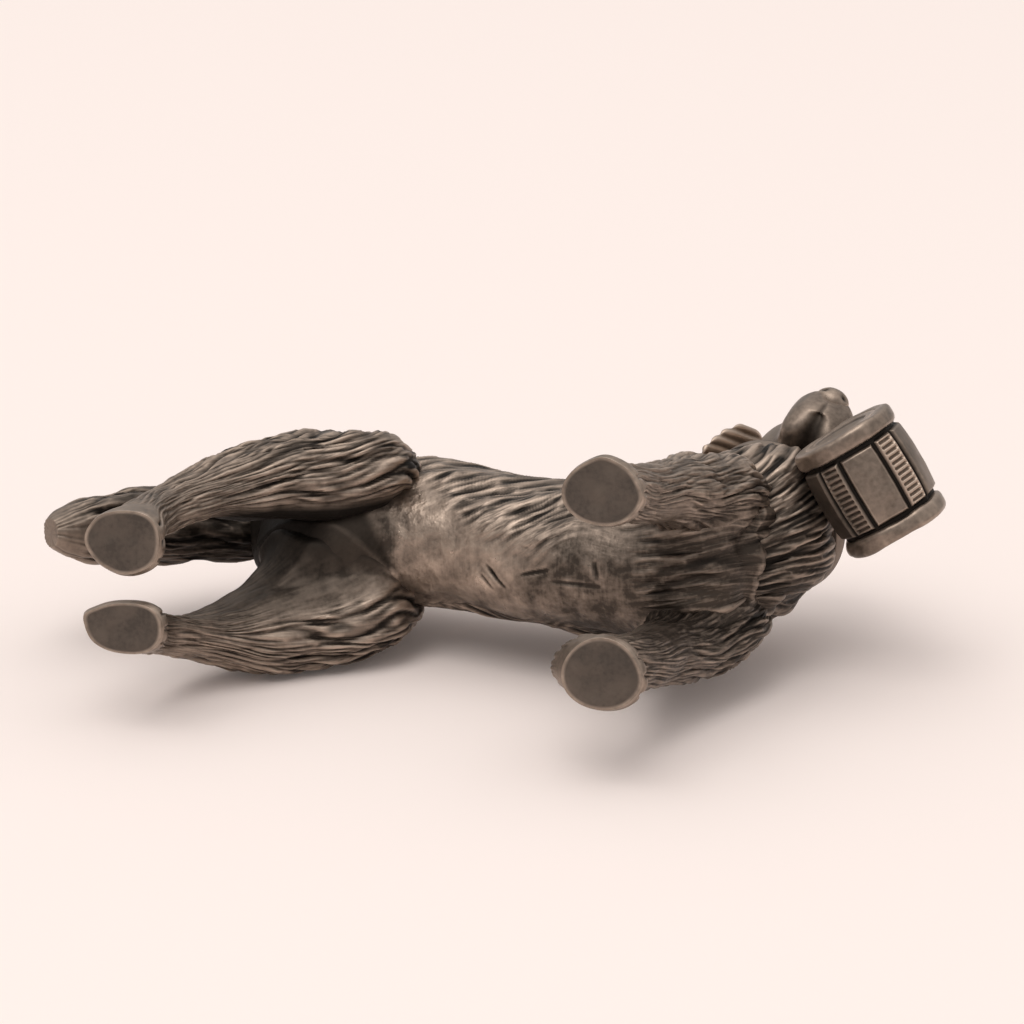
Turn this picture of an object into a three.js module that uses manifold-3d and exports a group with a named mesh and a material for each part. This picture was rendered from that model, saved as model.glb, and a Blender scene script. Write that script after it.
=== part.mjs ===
// A standing Saint Bernard figurine with a keg at its throat, cast in pewter.
// Millimetres. X runs forward, Y to the animal's left and Z up from the soles.
// Each limb is its own casting, cut to its neighbour and held there by a peg in a socket.
import * as THREE from 'three';
import { mergeVertices } from 'three/addons/utils/BufferGeometryUtils.js';
import Module from 'manifold-3d';

const wasm = await Module();
wasm.setup();

// Joints between the castings
const SOLDER_GAP = 0.3;
const PEG_RADIUS = 0.9;
const PEG_DEPTH = 3;
const PEG_SIDES = 12;

// Trunk: places along X, widths, heights of the back and the underside, sway to the left
const RUMP_X = -23;
const RUMP_HEIGHT = 3;
const RUMP_WIDTH = 3;
const SEAT_X = -21.2;
const SEAT_WIDTH = 9.4;
const SEAT_BACK = 34.6;
const SEAT_UNDERSIDE = 25.6;
const CROUP_X = -15;
const CROUP_WIDTH = 10.8;
const CROUP_BACK = 35.8;
const CROUP_UNDERSIDE = 20.6;
const LOIN_X = -7;
const LOIN_WIDTH = 11;
const LOIN_BACK = 35.2;
const LOIN_UNDERSIDE = 20.6;
const RIB_X = 1;
const RIB_WIDTH = 10.6;
const RIB_BACK = 35;
const RIB_UNDERSIDE = 19;
const RIB_SWAY = 0.9;
const GIRTH_X = 8;
const GIRTH_WIDTH = 11.8;
const GIRTH_BACK = 36;
const GIRTH_UNDERSIDE = 17.6;
const GIRTH_SWAY = 1.2;
const WITHERS_X = 14;
const WITHERS_WIDTH = 12.8;
const WITHERS_BACK = 37.2;
const WITHERS_UNDERSIDE = 17;
const WITHERS_SWAY = 0.8;
const BREAST_X = 18.8;
const BREAST_WIDTH = 11;
const BREAST_BACK = 34.5;
const BREAST_UNDERSIDE = 19.4;
const CHEST_FRONT_X = 22;
const CHEST_FRONT_HEIGHT = 4;
const CHEST_FRONT_WIDTH = 4;
const TRUNK_SQUARENESS = 2.2;

// Locks on the flanks: slanted flutes, and the radius that turns angles round the trunk into lengths
const FLANK_LOCK_PITCH = 4.7;
const FLANK_LOCK_DEPTH = 0.25;
const FLANK_LOCK_SLOPE = 0.62;
const FLANK_LOCK_RUN = 0.85;
const FLANK_RADIUS = 7.4;
// The flutes fade out between these angles from the belly's middle, and over these shares at both ends
const BELLY_EDGE = 0.6;
const FLANK_EDGE = 1.2;
const FLANK_LOCKS_BEGIN = 0.08;
const FLANK_LOCKS_END = 0.88;
const FLANK_LOCKS_FADE = 0.08;

// Paws: the sole is filed flat, a little inside the widest line of the foot
const PAW_TOP_Z = 3.6;
const PAW_WIDEST_Z = 1;
const SOLE_BEVEL = 0.15;
const TOE_CLEFT_DEPTH = 0.4;
const TOE_CLEFT_SPREAD = Math.PI / 6;
const TOE_CLEFT_SHARPNESS = 4;
const TOES_REACH = Math.PI / 4;

// Front legs, from the paw up
const FRONT_PAW_X = 14.5;
const RIGHT_FRONT_PAW_Y = -7.1;
const LEFT_FRONT_PAW_Y = 6;
const RIGHT_FRONT_PAW_LENGTH = 6.1;
const RIGHT_FRONT_PAW_WIDTH = 5;
const LEFT_FRONT_PAW_LENGTH = 6.2;
const LEFT_FRONT_PAW_WIDTH = 5.5;
const RIGHT_HEEL_TUFT = 0.6;
const LEFT_HEEL_TUFT = 1.7;
const WRIST_Z = 6.8;
const WRIST_X = 14.4;
const WRIST_GIRTH = 4.2;
const FOREARM_Z = 12;
const FOREARM_LENGTH = 5;
const FOREARM_WIDTH = 4.4;
const ELBOW_Z = 17.5;
const ELBOW_X = 15.4;
const RIGHT_ELBOW_Y = -5.2;
const LEFT_ELBOW_Y = 6.5;
const ELBOW_LENGTH = 6.6;
const ELBOW_WIDTH = 5;
const UPPER_ARM_Z = 23.5;
const UPPER_ARM_X = 16.2;
const UPPER_ARM_LENGTH = 8.4;
const UPPER_ARM_WIDTH = 5.6;
const UPPER_ARM_SPREAD = 4.4;
const SHOULDER_Z = 31;
const SHOULDER_X = 15;
const SHOULDER_LENGTH = 5.2;
const SHOULDER_WIDTH = 2.4;
const SHOULDER_SPREAD = 3.4;

// Hind legs, from the paw up
const HIND_PAW_X = -22.3;
const RIGHT_HIND_PAW_Y = -2.2;
const LEFT_HIND_PAW_Y = 4.3;
const RIGHT_HIND_PAW_LENGTH = 5.9;
const RIGHT_HIND_PAW_WIDTH = 4.8;
const LEFT_HIND_PAW_LENGTH = 6.2;
const LEFT_HIND_PAW_WIDTH = 4;
const PASTERN_GIRTH = 3.4;
const RIGHT_PASTERN_Y = -3.2;
const LEFT_PASTERN_Y = 5;
const SHANK_Z = 7;
const SHANK_X = -22.2;
const SHANK_GIRTH = 3.2;
const RIGHT_SHANK_Y = -3.6;
const LEFT_SHANK_Y = 5.7;
const HOCK_Z = 11.5;
const HOCK_X = -20.8;
const RIGHT_HOCK_Y = -4.4;
const LEFT_HOCK_Y = 6.5;
const HOCK_LENGTH = 5.4;
const HOCK_WIDTH = 3.3;
const GASKIN_Z = 16;
const GASKIN_X = -17.4;
const RIGHT_GASKIN_Y = -4.9;
const LEFT_GASKIN_Y = 6.8;
const GASKIN_LENGTH = 8.6;
const GASKIN_WIDTH = 5.6;
const STIFLE_Z = 21;
const STIFLE_X = -13.6;
const RIGHT_STIFLE_Y = -5.5;
const LEFT_STIFLE_Y = 6;
const STIFLE_LENGTH = 11.4;
const STIFLE_WIDTH = 5.8;
const THIGH_Z = 26.5;
const THIGH_X = -14.2;
const THIGH_LENGTH = 11.4;
const THIGH_WIDTH = 5;
const HIP_Z = 31.5;
const HIP_X = -15;
const HIP_LENGTH = 8;
const HIP_WIDTH = 2.6;
const HIP_SPREAD = 4;
const HIND_SQUARENESS = 2.4;
// The inner thigh swells into the crotch: how far, where on the run, how widely and how far backwards
const RIGHT_CROTCH = 0.6;
const LEFT_CROTCH = 2.8;
const CROTCH_SHARE = 0.27;
const CROTCH_SPREAD = 0.09;
const CROTCH_BACKWARDS = 0.3;

// Tail
const TAIL_ROOT_X = -20;
const TAIL_ROOT_Z = 32;
const TAIL_ROOT_GIRTH = 5.2;
const TAIL_MIDDLE_X = -27.4;
const TAIL_MIDDLE_Z = 25;
const TAIL_WIDTH = 4.9;
const TAIL_DEPTH = 5;
const TAIL_TIP_X = -34;
const TAIL_TIP_Z = 13.5;
const TAIL_SWING = -0.7;
const TAIL_SQUARENESS = 2.3;
const TAIL_FULLNESS = 1.2;
const TAIL_BLUNTNESS = 8;
const TAIL_PEG_SHARE = 0.3;

// Neck and ruff: from the chest up to the nape, leaning with the turned head
const NECK_BASE = new THREE.Vector3(16, 0.4, 24);
const NECK_TOP = new THREE.Vector3(18.8, -2.3, 38.2);
const NECK_TURN = THREE.MathUtils.degToRad(-27);
const NECK_BASE_WIDTH = 9.5;
const NECK_BASE_DEPTH = 9;
const RUFF_WIDTH = 13;
const RUFF_DEPTH = 15;
const COLLAR_LINE_WIDTH = 10.6;
const COLLAR_LINE_DEPTH = 10.8;
const NAPE_WIDTH = 6.6;
const NAPE_DEPTH = 6.6;

// Hair locks: shallow flutes along the ruff, the legs and the tail, and the share of the run they cover
const LOCK_DEPTH = 0.22;
const LOCK_FADE = 0.1;
const RUFF_LOCKS_END = 0.7;
const FRONT_LOCKS_END = 0.5;
const HIND_LOCKS_END = 0.6;
const TAIL_LOCKS_END = 0.95;
const RUFF_LOCKS = 9;
const LEG_LOCKS = 6;
const TAIL_LOCKS = 5;

// Head: from the back of the skull, turned to the right and nodding
const HEAD_AT = new THREE.Vector3(17.25, 0.8, 40);
const HEAD_TURN = THREE.MathUtils.degToRad(-66);
const HEAD_NOD = THREE.MathUtils.degToRad(22);
const SKULL_LENGTH = 8;
const SKULL_WIDTH = 9.4;
const SKULL_RISE = 4.6;
const SKULL_FALL = 4.2;
const MUZZLE_LENGTH = 5.6;
const MUZZLE_WIDTH = 5.3;
const MUZZLE_RISE = 1.5;
const FLEW_FALL = 4;
const MOUTH_DEPTH = 0.8;
const JAW_WIDTH = 3.6;
const JAW_FALL = 3.7;
const NOSE_RADIUS = 1.05;
const EYE_RADIUS = 0.55;
const EYE_SPREAD = 5.2;
const EYE_RISE = 2;
const HEAD_SQUARENESS = 2.3;
const LIP_SHARPNESS = 6;
const NOSE_STRETCH = 1.35;
const BALL_SIDES = 12;
const BALL_RINGS = 8;

// Profile of the skull: shares of its length, width, rise and fall, from the back to the brow
const SKULL_PROFILE = [
  [0, 0.25, 0.25, 0.25],
  [0.06, 0.55, 0.52, 0.52],
  [0.22, 0.86, 0.83, 0.8],
  [0.52, 1, 1, 1],
  [0.84, 0.93, 0.92, 1],
];
// The stop, where the brow drops to the muzzle: its share of the skull's length and of the muzzle's rise
const STOP_ALONG = 1.08;
const STOP_RISE = 1.5;
// Profile of the muzzle: shares of its length back from the nose, and of its width, rise and fall
const MUZZLE_PROFILE = [
  [0.6, 1, 1, 1],
  [0.28, 0.95, 1, 0.92],
  [0.08, 0.68, 0.9, 0.66],
  [0, 0.36, 0.5, 0.3],
];
// The mouth's crease begins and is full at these shares of the head's run
const MOUTH_BEGINS = 0.5;
const MOUTH_FULL = 0.68;
// Profile of the jaw: shares of the way from its hinge to its tip, and of its full section
const JAW_PROFILE = [
  [0, 0.7],
  [0.5, 1],
  [0.85, 0.9],
  [1, 0.4],
];
const JAW_HINGE_SHARE = 0.6;
const JAW_TIP_SHARE = 0.8;

// Ears
const EAR_LENGTH = 7;
const EAR_WIDTH = 5.6;
const EAR_THICKNESS = 1.5;
const EAR_FLARE = THREE.MathUtils.degToRad(22);
const EAR_ROOT_X = 4;
const EAR_ROOT_RISE = 2.2;
// The leaf's outline is part of a sine arch: where on the arch it starts and ends, and how full it is
const EAR_ARCH_START = 0.14;
const EAR_ARCH_END = 0.96;
const EAR_FULLNESS = 0.7;

// Collar, a band round the neck that carries the keg
const COLLAR_WIDTH = 1.6;
const COLLAR_THICKNESS = 0.7;
const COLLAR_TILT = THREE.MathUtils.degToRad(16);

// Keg: staves between two end hoops, across the throat, slid a little to the left with its left end raised
const KEG_TURN = THREE.MathUtils.degToRad(-30);
const KEG_TILT = THREE.MathUtils.degToRad(8);
const KEG_SLIDE = 0.3;
const KEG_LENGTH = 9;
const KEG_END_RADIUS = 3;
const KEG_BULGE = 1.2;
const STAVE_COUNT = 8;
const STAVE_TURN = THREE.MathUtils.degToRad(5.5);
const STAVE_GROOVE_DEPTH = 0.35;
const HOOP_WIDTH = 1.3;
const HOOP_THICKNESS = 0.3;
const KEG_STANDOFF = -0.35;
const KEG_LUG_RADIUS = 1;
const KEG_HEAD_INSET = 0.5;
const KEG_CHIME = 0.8;
const POINTS_PER_STAVE = 5;
const HOOP_SIDES = 36;

// Finish
const PEWTER = 0x4b4742;
const WORN_PEWTER = 0x5a5650;

const X_AXIS = new THREE.Vector3(1, 0, 0);
const Y_AXIS = new THREE.Vector3(0, 1, 0);
const Z_AXIS = new THREE.Vector3(0, 0, 1);

// A station of a loft: a centre and its half sizes along the loft's two section axes.
function station(at, half, above, below = above) {
  return { at: new THREE.Vector3(...at), size: new THREE.Vector3(half, above, below) };
}

// A smooth curve through points, at even steps of its parameter.
const smooth = (points) => new THREE.CatmullRomCurve3(points, false, 'catmullrom', 0.5);

// A closed body through stations: superellipse sections whose centres and sizes follow smooth curves.
// Relief adds to a section's radius by the share of the run and the angle round the section.
const PLAIN = () => 0;
function loft(stations, options) {
  const { across, up, sides = 24, steps = 2, grow = 0, squareness = 2, relief = PLAIN } = options;
  const spine = smooth(stations.map((s) => s.at));
  const sizes = smooth(stations.map((s) => s.size));
  const rings = (stations.length - 1) * steps;
  const corners = [];
  const push = (v) => corners.push(v.x, v.y, v.z) / 3 - 1;
  const bend = (value) => Math.sign(value) * Math.abs(value) ** (2 / squareness);
  const centres = [];
  for (let i = 0; i <= rings; i++) {
    const share = i / rings;
    const size = sizes.getPoint(share);
    const centre = spine.getPoint(share);
    if (i === 0) centre.addScaledVector(spine.getTangent(share), -grow);
    if (i === rings) centre.addScaledVector(spine.getTangent(share), grow);
    centres.push(centre);
    for (let k = 0; k < sides; k++) {
      const angle = (2 * Math.PI * k) / sides;
      const c = bend(Math.cos(angle));
      const s = bend(Math.sin(angle));
      const extra = grow + relief(share, angle);
      const reach = centre.clone();
      reach.addScaledVector(across, c * (size.x + extra));
      reach.addScaledVector(up, s * ((s > 0 ? size.y : size.z) + extra));
      push(reach);
    }
  }
  const faces = [];
  const corner = (i, k) => i * sides + (k % sides);
  const start = push(centres[0]);
  const end = push(centres[rings]);
  for (let k = 0; k < sides; k++) {
    faces.push(start, corner(0, k + 1), corner(0, k));
    faces.push(end, corner(rings, k), corner(rings, k + 1));
    for (let i = 0; i < rings; i++) {
      faces.push(corner(i, k), corner(i, k + 1), corner(i + 1, k));
      faces.push(corner(i + 1, k), corner(i, k + 1), corner(i + 1, k + 1));
    }
  }
  const geometry = new THREE.BufferGeometry();
  geometry.setAttribute('position', new THREE.Float32BufferAttribute(corners, 3));
  geometry.setIndex(faces);
  return geometry;
}

// A geometry as a solid for joining and cutting, with its faces turned outwards.
function solid(geometry) {
  geometry.deleteAttribute('normal');
  geometry.deleteAttribute('uv');
  const merged = mergeVertices(geometry);
  const vertProperties = merged.attributes.position.array;
  const triVerts = new Uint32Array(merged.index.array);
  const made = new wasm.Manifold(new wasm.Mesh({ numProp: 3, vertProperties, triVerts }));
  if (made.volume() > 0) return made;
  triVerts.reverse();
  return new wasm.Manifold(new wasm.Mesh({ numProp: 3, vertProperties, triVerts }));
}

// The main body that a cut leaves: thin offcuts on the far side of the neighbour fall away.
function mainBody(shape) {
  return shape.decompose().reduce((most, body) => (body.volume() > most.volume() ? body : most));
}

// A round peg between two points, as a solid.
function peg(from, to, radius) {
  const along = to.clone().sub(from);
  const geometry = new THREE.CylinderGeometry(radius, radius, along.length(), PEG_SIDES);
  geometry.applyQuaternion(new THREE.Quaternion().setFromUnitVectors(Y_AXIS, along.clone().normalize()));
  const middle = from.clone().lerp(to, 0.5);
  geometry.translate(middle.x, middle.y, middle.z);
  return solid(geometry);
}

// The socket for a peg: the same peg with the solder gap round it and past its end.
function socket(from, to, radius) {
  const direction = to.clone().sub(from).normalize();
  return peg(from, to.clone().addScaledVector(direction, SOLDER_GAP), radius + SOLDER_GAP);
}

// Flutes that run along a loft like locks of hair, fading out towards a share of the run.
function locks(count, end) {
  return (share, angle) => {
    const strength = THREE.MathUtils.clamp((end - share) / (1 - end + LOCK_FADE), 0, 1);
    return LOCK_DEPTH * strength * Math.cos(count * angle);
  };
}

// Three clefts across the front of a paw that part its toes, in the lowest stations of a leg.
function toes(share, angle, pawStart) {
  const height = (share - pawStart) / (1 - pawStart);
  if (height <= 0 || Math.cos(angle) < Math.cos(TOES_REACH)) return 0;
  const ripple = Math.cos((angle * 2 * Math.PI) / TOE_CLEFT_SPREAD);
  const cleft = Math.max(0, ripple) ** TOE_CLEFT_SHARPNESS;
  return -TOE_CLEFT_DEPTH * cleft * Math.sin(Math.PI * height);
}

// Slanted flutes on the flanks, the same on both sides.
function flankLocks(share, angle) {
  const { smoothstep } = THREE.MathUtils;
  const fromBack = Math.abs(Math.atan2(-Math.cos(angle), Math.sin(angle)));
  const x = THREE.MathUtils.lerp(RUMP_X, CHEST_FRONT_X, share);
  const across = FLANK_LOCK_RUN * FLANK_RADIUS * fromBack + FLANK_LOCK_SLOPE * x;
  const onFlank = smoothstep(Math.PI - fromBack, BELLY_EDGE, FLANK_EDGE);
  const begins = smoothstep(share, FLANK_LOCKS_BEGIN - FLANK_LOCKS_FADE, FLANK_LOCKS_BEGIN);
  const ends = 1 - smoothstep(share, FLANK_LOCKS_END, FLANK_LOCKS_END + FLANK_LOCKS_FADE);
  const flute = Math.cos((2 * Math.PI * across) / FLANK_LOCK_PITCH);
  return FLANK_LOCK_DEPTH * onFlank * begins * ends * flute;
}

function torsoGeometry(grow = 0) {
  const section = (x, width, back, underside, sway = 0) =>
    station([x, sway, (back + underside) / 2], width / 2, (back - underside) / 2);
  const rumpMiddle = (SEAT_BACK + SEAT_UNDERSIDE) / 2;
  const chestMiddle = (BREAST_BACK + BREAST_UNDERSIDE) / 2;
  return loft(
    [
      section(RUMP_X, RUMP_WIDTH, rumpMiddle + RUMP_HEIGHT / 2, rumpMiddle - RUMP_HEIGHT / 2),
      section(SEAT_X, SEAT_WIDTH, SEAT_BACK, SEAT_UNDERSIDE),
      section(CROUP_X, CROUP_WIDTH, CROUP_BACK, CROUP_UNDERSIDE),
      section(LOIN_X, LOIN_WIDTH, LOIN_BACK, LOIN_UNDERSIDE),
      section(RIB_X, RIB_WIDTH, RIB_BACK, RIB_UNDERSIDE, RIB_SWAY),
      section(GIRTH_X, GIRTH_WIDTH, GIRTH_BACK, GIRTH_UNDERSIDE, GIRTH_SWAY),
      section(WITHERS_X, WITHERS_WIDTH, WITHERS_BACK, WITHERS_UNDERSIDE, WITHERS_SWAY),
      section(BREAST_X, BREAST_WIDTH, BREAST_BACK, BREAST_UNDERSIDE),
      section(CHEST_FRONT_X, CHEST_FRONT_WIDTH, chestMiddle + CHEST_FRONT_HEIGHT / 2,
        chestMiddle - CHEST_FRONT_HEIGHT / 2),
    ],
    {
      across: Y_AXIS, up: Z_AXIS, sides: 36, steps: 3, grow,
      squareness: TRUNK_SQUARENESS, relief: flankLocks,
    },
  );
}

// The paw's two lowest stations: its widest line and the filed sole.
function pawStations(x, y, [length, width]) {
  const sole = [length / 2 - SOLE_BEVEL, width / 2 - SOLE_BEVEL];
  return [station([x, y, PAW_WIDEST_Z], length / 2, width / 2), station([x, y, 0], ...sole)];
}

function frontLegGeometry(side, elbowY, pawY, paw, heelTuft) {
  const shoulderY = side * SHOULDER_SPREAD;
  const upperArmY = (side * UPPER_ARM_SPREAD + elbowY) / 2;
  const slant = (z) => pawY + ((elbowY - pawY) * z) / ELBOW_Z;
  const forearmX = (ELBOW_X + WRIST_X) / 2;
  const pawTopLength = WRIST_GIRTH + heelTuft;
  const stations = [
    station([SHOULDER_X, shoulderY, SHOULDER_Z], SHOULDER_LENGTH / 2, SHOULDER_WIDTH / 2),
    station([UPPER_ARM_X, upperArmY, UPPER_ARM_Z], UPPER_ARM_LENGTH / 2, UPPER_ARM_WIDTH / 2),
    station([ELBOW_X, elbowY, ELBOW_Z], ELBOW_LENGTH / 2, ELBOW_WIDTH / 2),
    station([forearmX, slant(FOREARM_Z), FOREARM_Z], FOREARM_LENGTH / 2, FOREARM_WIDTH / 2),
    station([WRIST_X, slant(WRIST_Z), WRIST_Z], WRIST_GIRTH / 2, WRIST_GIRTH / 2),
    station([WRIST_X - heelTuft, pawY, PAW_TOP_Z], pawTopLength / 2, WRIST_GIRTH / 2),
    ...pawStations(FRONT_PAW_X, pawY, paw),
  ];
  const pawStart = 1 - 2 / (stations.length - 1);
  const hair = locks(LEG_LOCKS, FRONT_LOCKS_END);
  const relief = (share, angle) => hair(share, angle) + toes(share, angle, pawStart);
  return loft(stations, { across: X_AXIS, up: Y_AXIS, relief });
}

// A bell curve that is 1 at its middle.
const bell = (value, middle, spread) => Math.exp(-(((value - middle) / spread) ** 2));

function hindLegGeometry(side, [stifleY, gaskinY, hockY, shankY, pasternY, pawY], paw, crotch) {
  const hipY = side * HIP_SPREAD;
  const stations = [
    station([HIP_X, hipY, HIP_Z], HIP_LENGTH / 2, HIP_WIDTH / 2),
    station([THIGH_X, (hipY + stifleY) / 2, THIGH_Z], THIGH_LENGTH / 2, THIGH_WIDTH / 2),
    station([STIFLE_X, stifleY, STIFLE_Z], STIFLE_LENGTH / 2, STIFLE_WIDTH / 2),
    station([GASKIN_X, gaskinY, GASKIN_Z], GASKIN_LENGTH / 2, GASKIN_WIDTH / 2),
    station([HOCK_X, hockY, HOCK_Z], HOCK_LENGTH / 2, HOCK_WIDTH / 2),
    station([SHANK_X, shankY, SHANK_Z], SHANK_GIRTH / 2, SHANK_GIRTH / 2),
    station([SHANK_X, pasternY, PAW_TOP_Z], PASTERN_GIRTH / 2, PASTERN_GIRTH / 2),
    ...pawStations(HIND_PAW_X, pawY, paw),
  ];
  const pawStart = 1 - 2 / (stations.length - 1);
  const hair = locks(LEG_LOCKS, HIND_LOCKS_END);
  const swell = (share, angle) => {
    const facing = -side * Math.sin(angle) - CROTCH_BACKWARDS * Math.cos(angle);
    return crotch * Math.max(0, facing) * bell(share, CROTCH_SHARE, CROTCH_SPREAD);
  };
  const relief = (share, angle) =>
    hair(share, angle) + swell(share, angle) + toes(share, angle, pawStart);
  return loft(stations, { across: X_AXIS, up: Y_AXIS, squareness: HIND_SQUARENESS, relief });
}

// The tail's spine: from the root over a middle point to the blunt tip.
const tailSpine = new THREE.CatmullRomCurve3([
  new THREE.Vector3(TAIL_ROOT_X, 0, TAIL_ROOT_Z),
  new THREE.Vector3(TAIL_MIDDLE_X, TAIL_SWING / 2, TAIL_MIDDLE_Z),
  new THREE.Vector3(TAIL_TIP_X, TAIL_SWING, TAIL_TIP_Z),
]);

function tailGeometry() {
  const spans = 6;
  const swell = (share) => TAIL_ROOT_GIRTH + (TAIL_WIDTH - TAIL_ROOT_GIRTH) * share;
  const blunt = (share) => Math.sqrt(TAIL_FULLNESS - share ** TAIL_BLUNTNESS);
  const stations = Array.from({ length: spans + 1 }, (_, i) => {
    const share = i / spans;
    const half = (swell(share) / 2) * blunt(share);
    return station(tailSpine.getPoint(share).toArray(), half, (half * TAIL_DEPTH) / TAIL_WIDTH);
  });
  const run = tailSpine.getPoint(1).sub(tailSpine.getPoint(0));
  const up = new THREE.Vector3().crossVectors(Y_AXIS, run).normalize();
  const relief = locks(TAIL_LOCKS, TAIL_LOCKS_END);
  return loft(stations, { across: Y_AXIS, up, sides: 20, squareness: TAIL_SQUARENESS, relief });
}

// The neck's own axes: its run from base to nape, its front under the keg and its left.
const neckRun = NECK_TOP.clone().sub(NECK_BASE);
const neckAxis = neckRun.clone().normalize();
const throatFacing = X_AXIS.clone().applyAxisAngle(Z_AXIS, NECK_TURN);
const neckLeft = new THREE.Vector3().crossVectors(neckAxis, throatFacing).normalize();
const neckFront = new THREE.Vector3().crossVectors(neckLeft, neckAxis).normalize();
const onNeck = (share) => NECK_BASE.clone().addScaledVector(neckRun, share);

// The neck's stations, a third of its run apart: base, ruff, collar line and nape.
const RUFF_SHARE = 1 / 3;
const COLLAR_SHARE = 2 / 3;
const neckStations = [
  station(onNeck(0).toArray(), NECK_BASE_WIDTH / 2, NECK_BASE_DEPTH / 2),
  station(onNeck(RUFF_SHARE).toArray(), RUFF_WIDTH / 2, RUFF_DEPTH / 2),
  station(onNeck(COLLAR_SHARE).toArray(), COLLAR_LINE_WIDTH / 2, COLLAR_LINE_DEPTH / 2),
  station(onNeck(1).toArray(), NAPE_WIDTH / 2, NAPE_DEPTH / 2),
];

function neckGeometry(grow = 0) {
  const relief = locks(RUFF_LOCKS, RUFF_LOCKS_END);
  return loft(neckStations, { across: neckLeft, up: neckFront, sides: 36, steps: 4, grow, relief });
}

// The collar's slab: a tilted disc space that cuts a band from round the neck.
function collarSlab(grow = 0) {
  const reach = 2 * (RUFF_WIDTH + RUFF_DEPTH);
  const geometry = new THREE.BoxGeometry(reach, reach, COLLAR_WIDTH + 2 * grow);
  const facing = neckAxis.clone().applyAxisAngle(neckLeft, COLLAR_TILT);
  geometry.applyQuaternion(new THREE.Quaternion().setFromUnitVectors(Z_AXIS, facing));
  const at = onNeck(COLLAR_SHARE);
  geometry.translate(at.x, at.y, at.z);
  return solid(geometry);
}

// How far the throat stands from the neck's axis along the collar's dip, found by repeated substitution.
const SUBSTITUTIONS = 8;
function throatReach() {
  const sizes = smooth(neckStations.map((s) => s.size));
  let reach = COLLAR_LINE_DEPTH / 2;
  for (let round = 0; round < SUBSTITUTIONS; round++) {
    const drop = (reach * Math.sin(COLLAR_TILT)) / neckRun.length();
    reach = sizes.getPoint(COLLAR_SHARE - drop).y / Math.cos(COLLAR_TILT);
  }
  return reach;
}

// The throat under the collar's lowest, foremost stretch, where the keg hangs.
const collarDip = neckFront.clone().applyAxisAngle(neckLeft, COLLAR_TILT);
const collarFront = onNeck(COLLAR_SHARE).addScaledVector(collarDip, throatReach());

// The keg hangs out from there; its space is cut from the collar where the two meet.
const staveRadius = (y) => KEG_END_RADIUS + KEG_BULGE * (1 - ((2 * y) / KEG_LENGTH) ** 2);
const hoopRadius = staveRadius(KEG_LENGTH / 2 - HOOP_WIDTH) + SOLDER_GAP + HOOP_THICKNESS;
const collarReach = 2 * SOLDER_GAP + COLLAR_THICKNESS + LOCK_DEPTH;
const kegReach = collarReach + staveRadius(0) + KEG_STANDOFF;
const kegAxis = Y_AXIS.clone().applyAxisAngle(Z_AXIS, KEG_TURN);
const kegAt = collarFront.clone().addScaledVector(collarDip, kegReach).addScaledVector(kegAxis, KEG_SLIDE);

// The head's place: its own X runs from the back of the skull to the nose.
const headPlace = new THREE.Matrix4().compose(
  HEAD_AT,
  new THREE.Quaternion().setFromEuler(new THREE.Euler(0, HEAD_NOD, HEAD_TURN, 'ZYX')),
  new THREE.Vector3(1, 1, 1),
);

function skullGeometry(grow = 0) {
  const half = SKULL_WIDTH / 2;
  const muzzle = MUZZLE_WIDTH / 2;
  const tip = SKULL_LENGTH + MUZZLE_LENGTH;
  const crease = (share, angle) => {
    const onMuzzle = THREE.MathUtils.smoothstep(share, MOUTH_BEGINS, MOUTH_FULL);
    return -MOUTH_DEPTH * onMuzzle * Math.max(0, -Math.sin(angle)) ** LIP_SHARPNESS;
  };
  const stations = [
    ...SKULL_PROFILE.map(([along, wide, rise, fall]) =>
      station([SKULL_LENGTH * along, 0, 0], half * wide, SKULL_RISE * rise, SKULL_FALL * fall)),
    station([SKULL_LENGTH * STOP_ALONG, 0, 0], (half + muzzle) / 2, MUZZLE_RISE * STOP_RISE, FLEW_FALL),
    ...MUZZLE_PROFILE.map(([back, wide, rise, fall]) =>
      station([tip - MUZZLE_LENGTH * back, 0, 0], muzzle * wide, MUZZLE_RISE * rise, FLEW_FALL * fall)),
  ];
  const shape = { across: Y_AXIS, up: Z_AXIS, steps: 3, squareness: HEAD_SQUARENESS };
  return loft(stations, { ...shape, grow, relief: crease }).applyMatrix4(headPlace);
}

// The lower jaw, seen between the flews.
function jawGeometry() {
  const hinge = SKULL_LENGTH * JAW_HINGE_SHARE;
  const tip = SKULL_LENGTH + MUZZLE_LENGTH * JAW_TIP_SHARE;
  const depth = JAW_FALL / 2;
  const stations = JAW_PROFILE.map(([along, full]) =>
    station([hinge + (tip - hinge) * along, 0, -depth], (JAW_WIDTH / 2) * full, depth * full));
  return loft(stations, { across: Y_AXIS, up: Z_AXIS, sides: 12 }).applyMatrix4(headPlace);
}

// A ball on the head, for the nose pad and the eyes.
function headBall(x, y, z, radius, stretch = 1) {
  const geometry = new THREE.SphereGeometry(radius, BALL_SIDES, BALL_RINGS);
  geometry.scale(1, stretch, 1);
  geometry.translate(x, y, z);
  return solid(geometry.applyMatrix4(headPlace));
}

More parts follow.
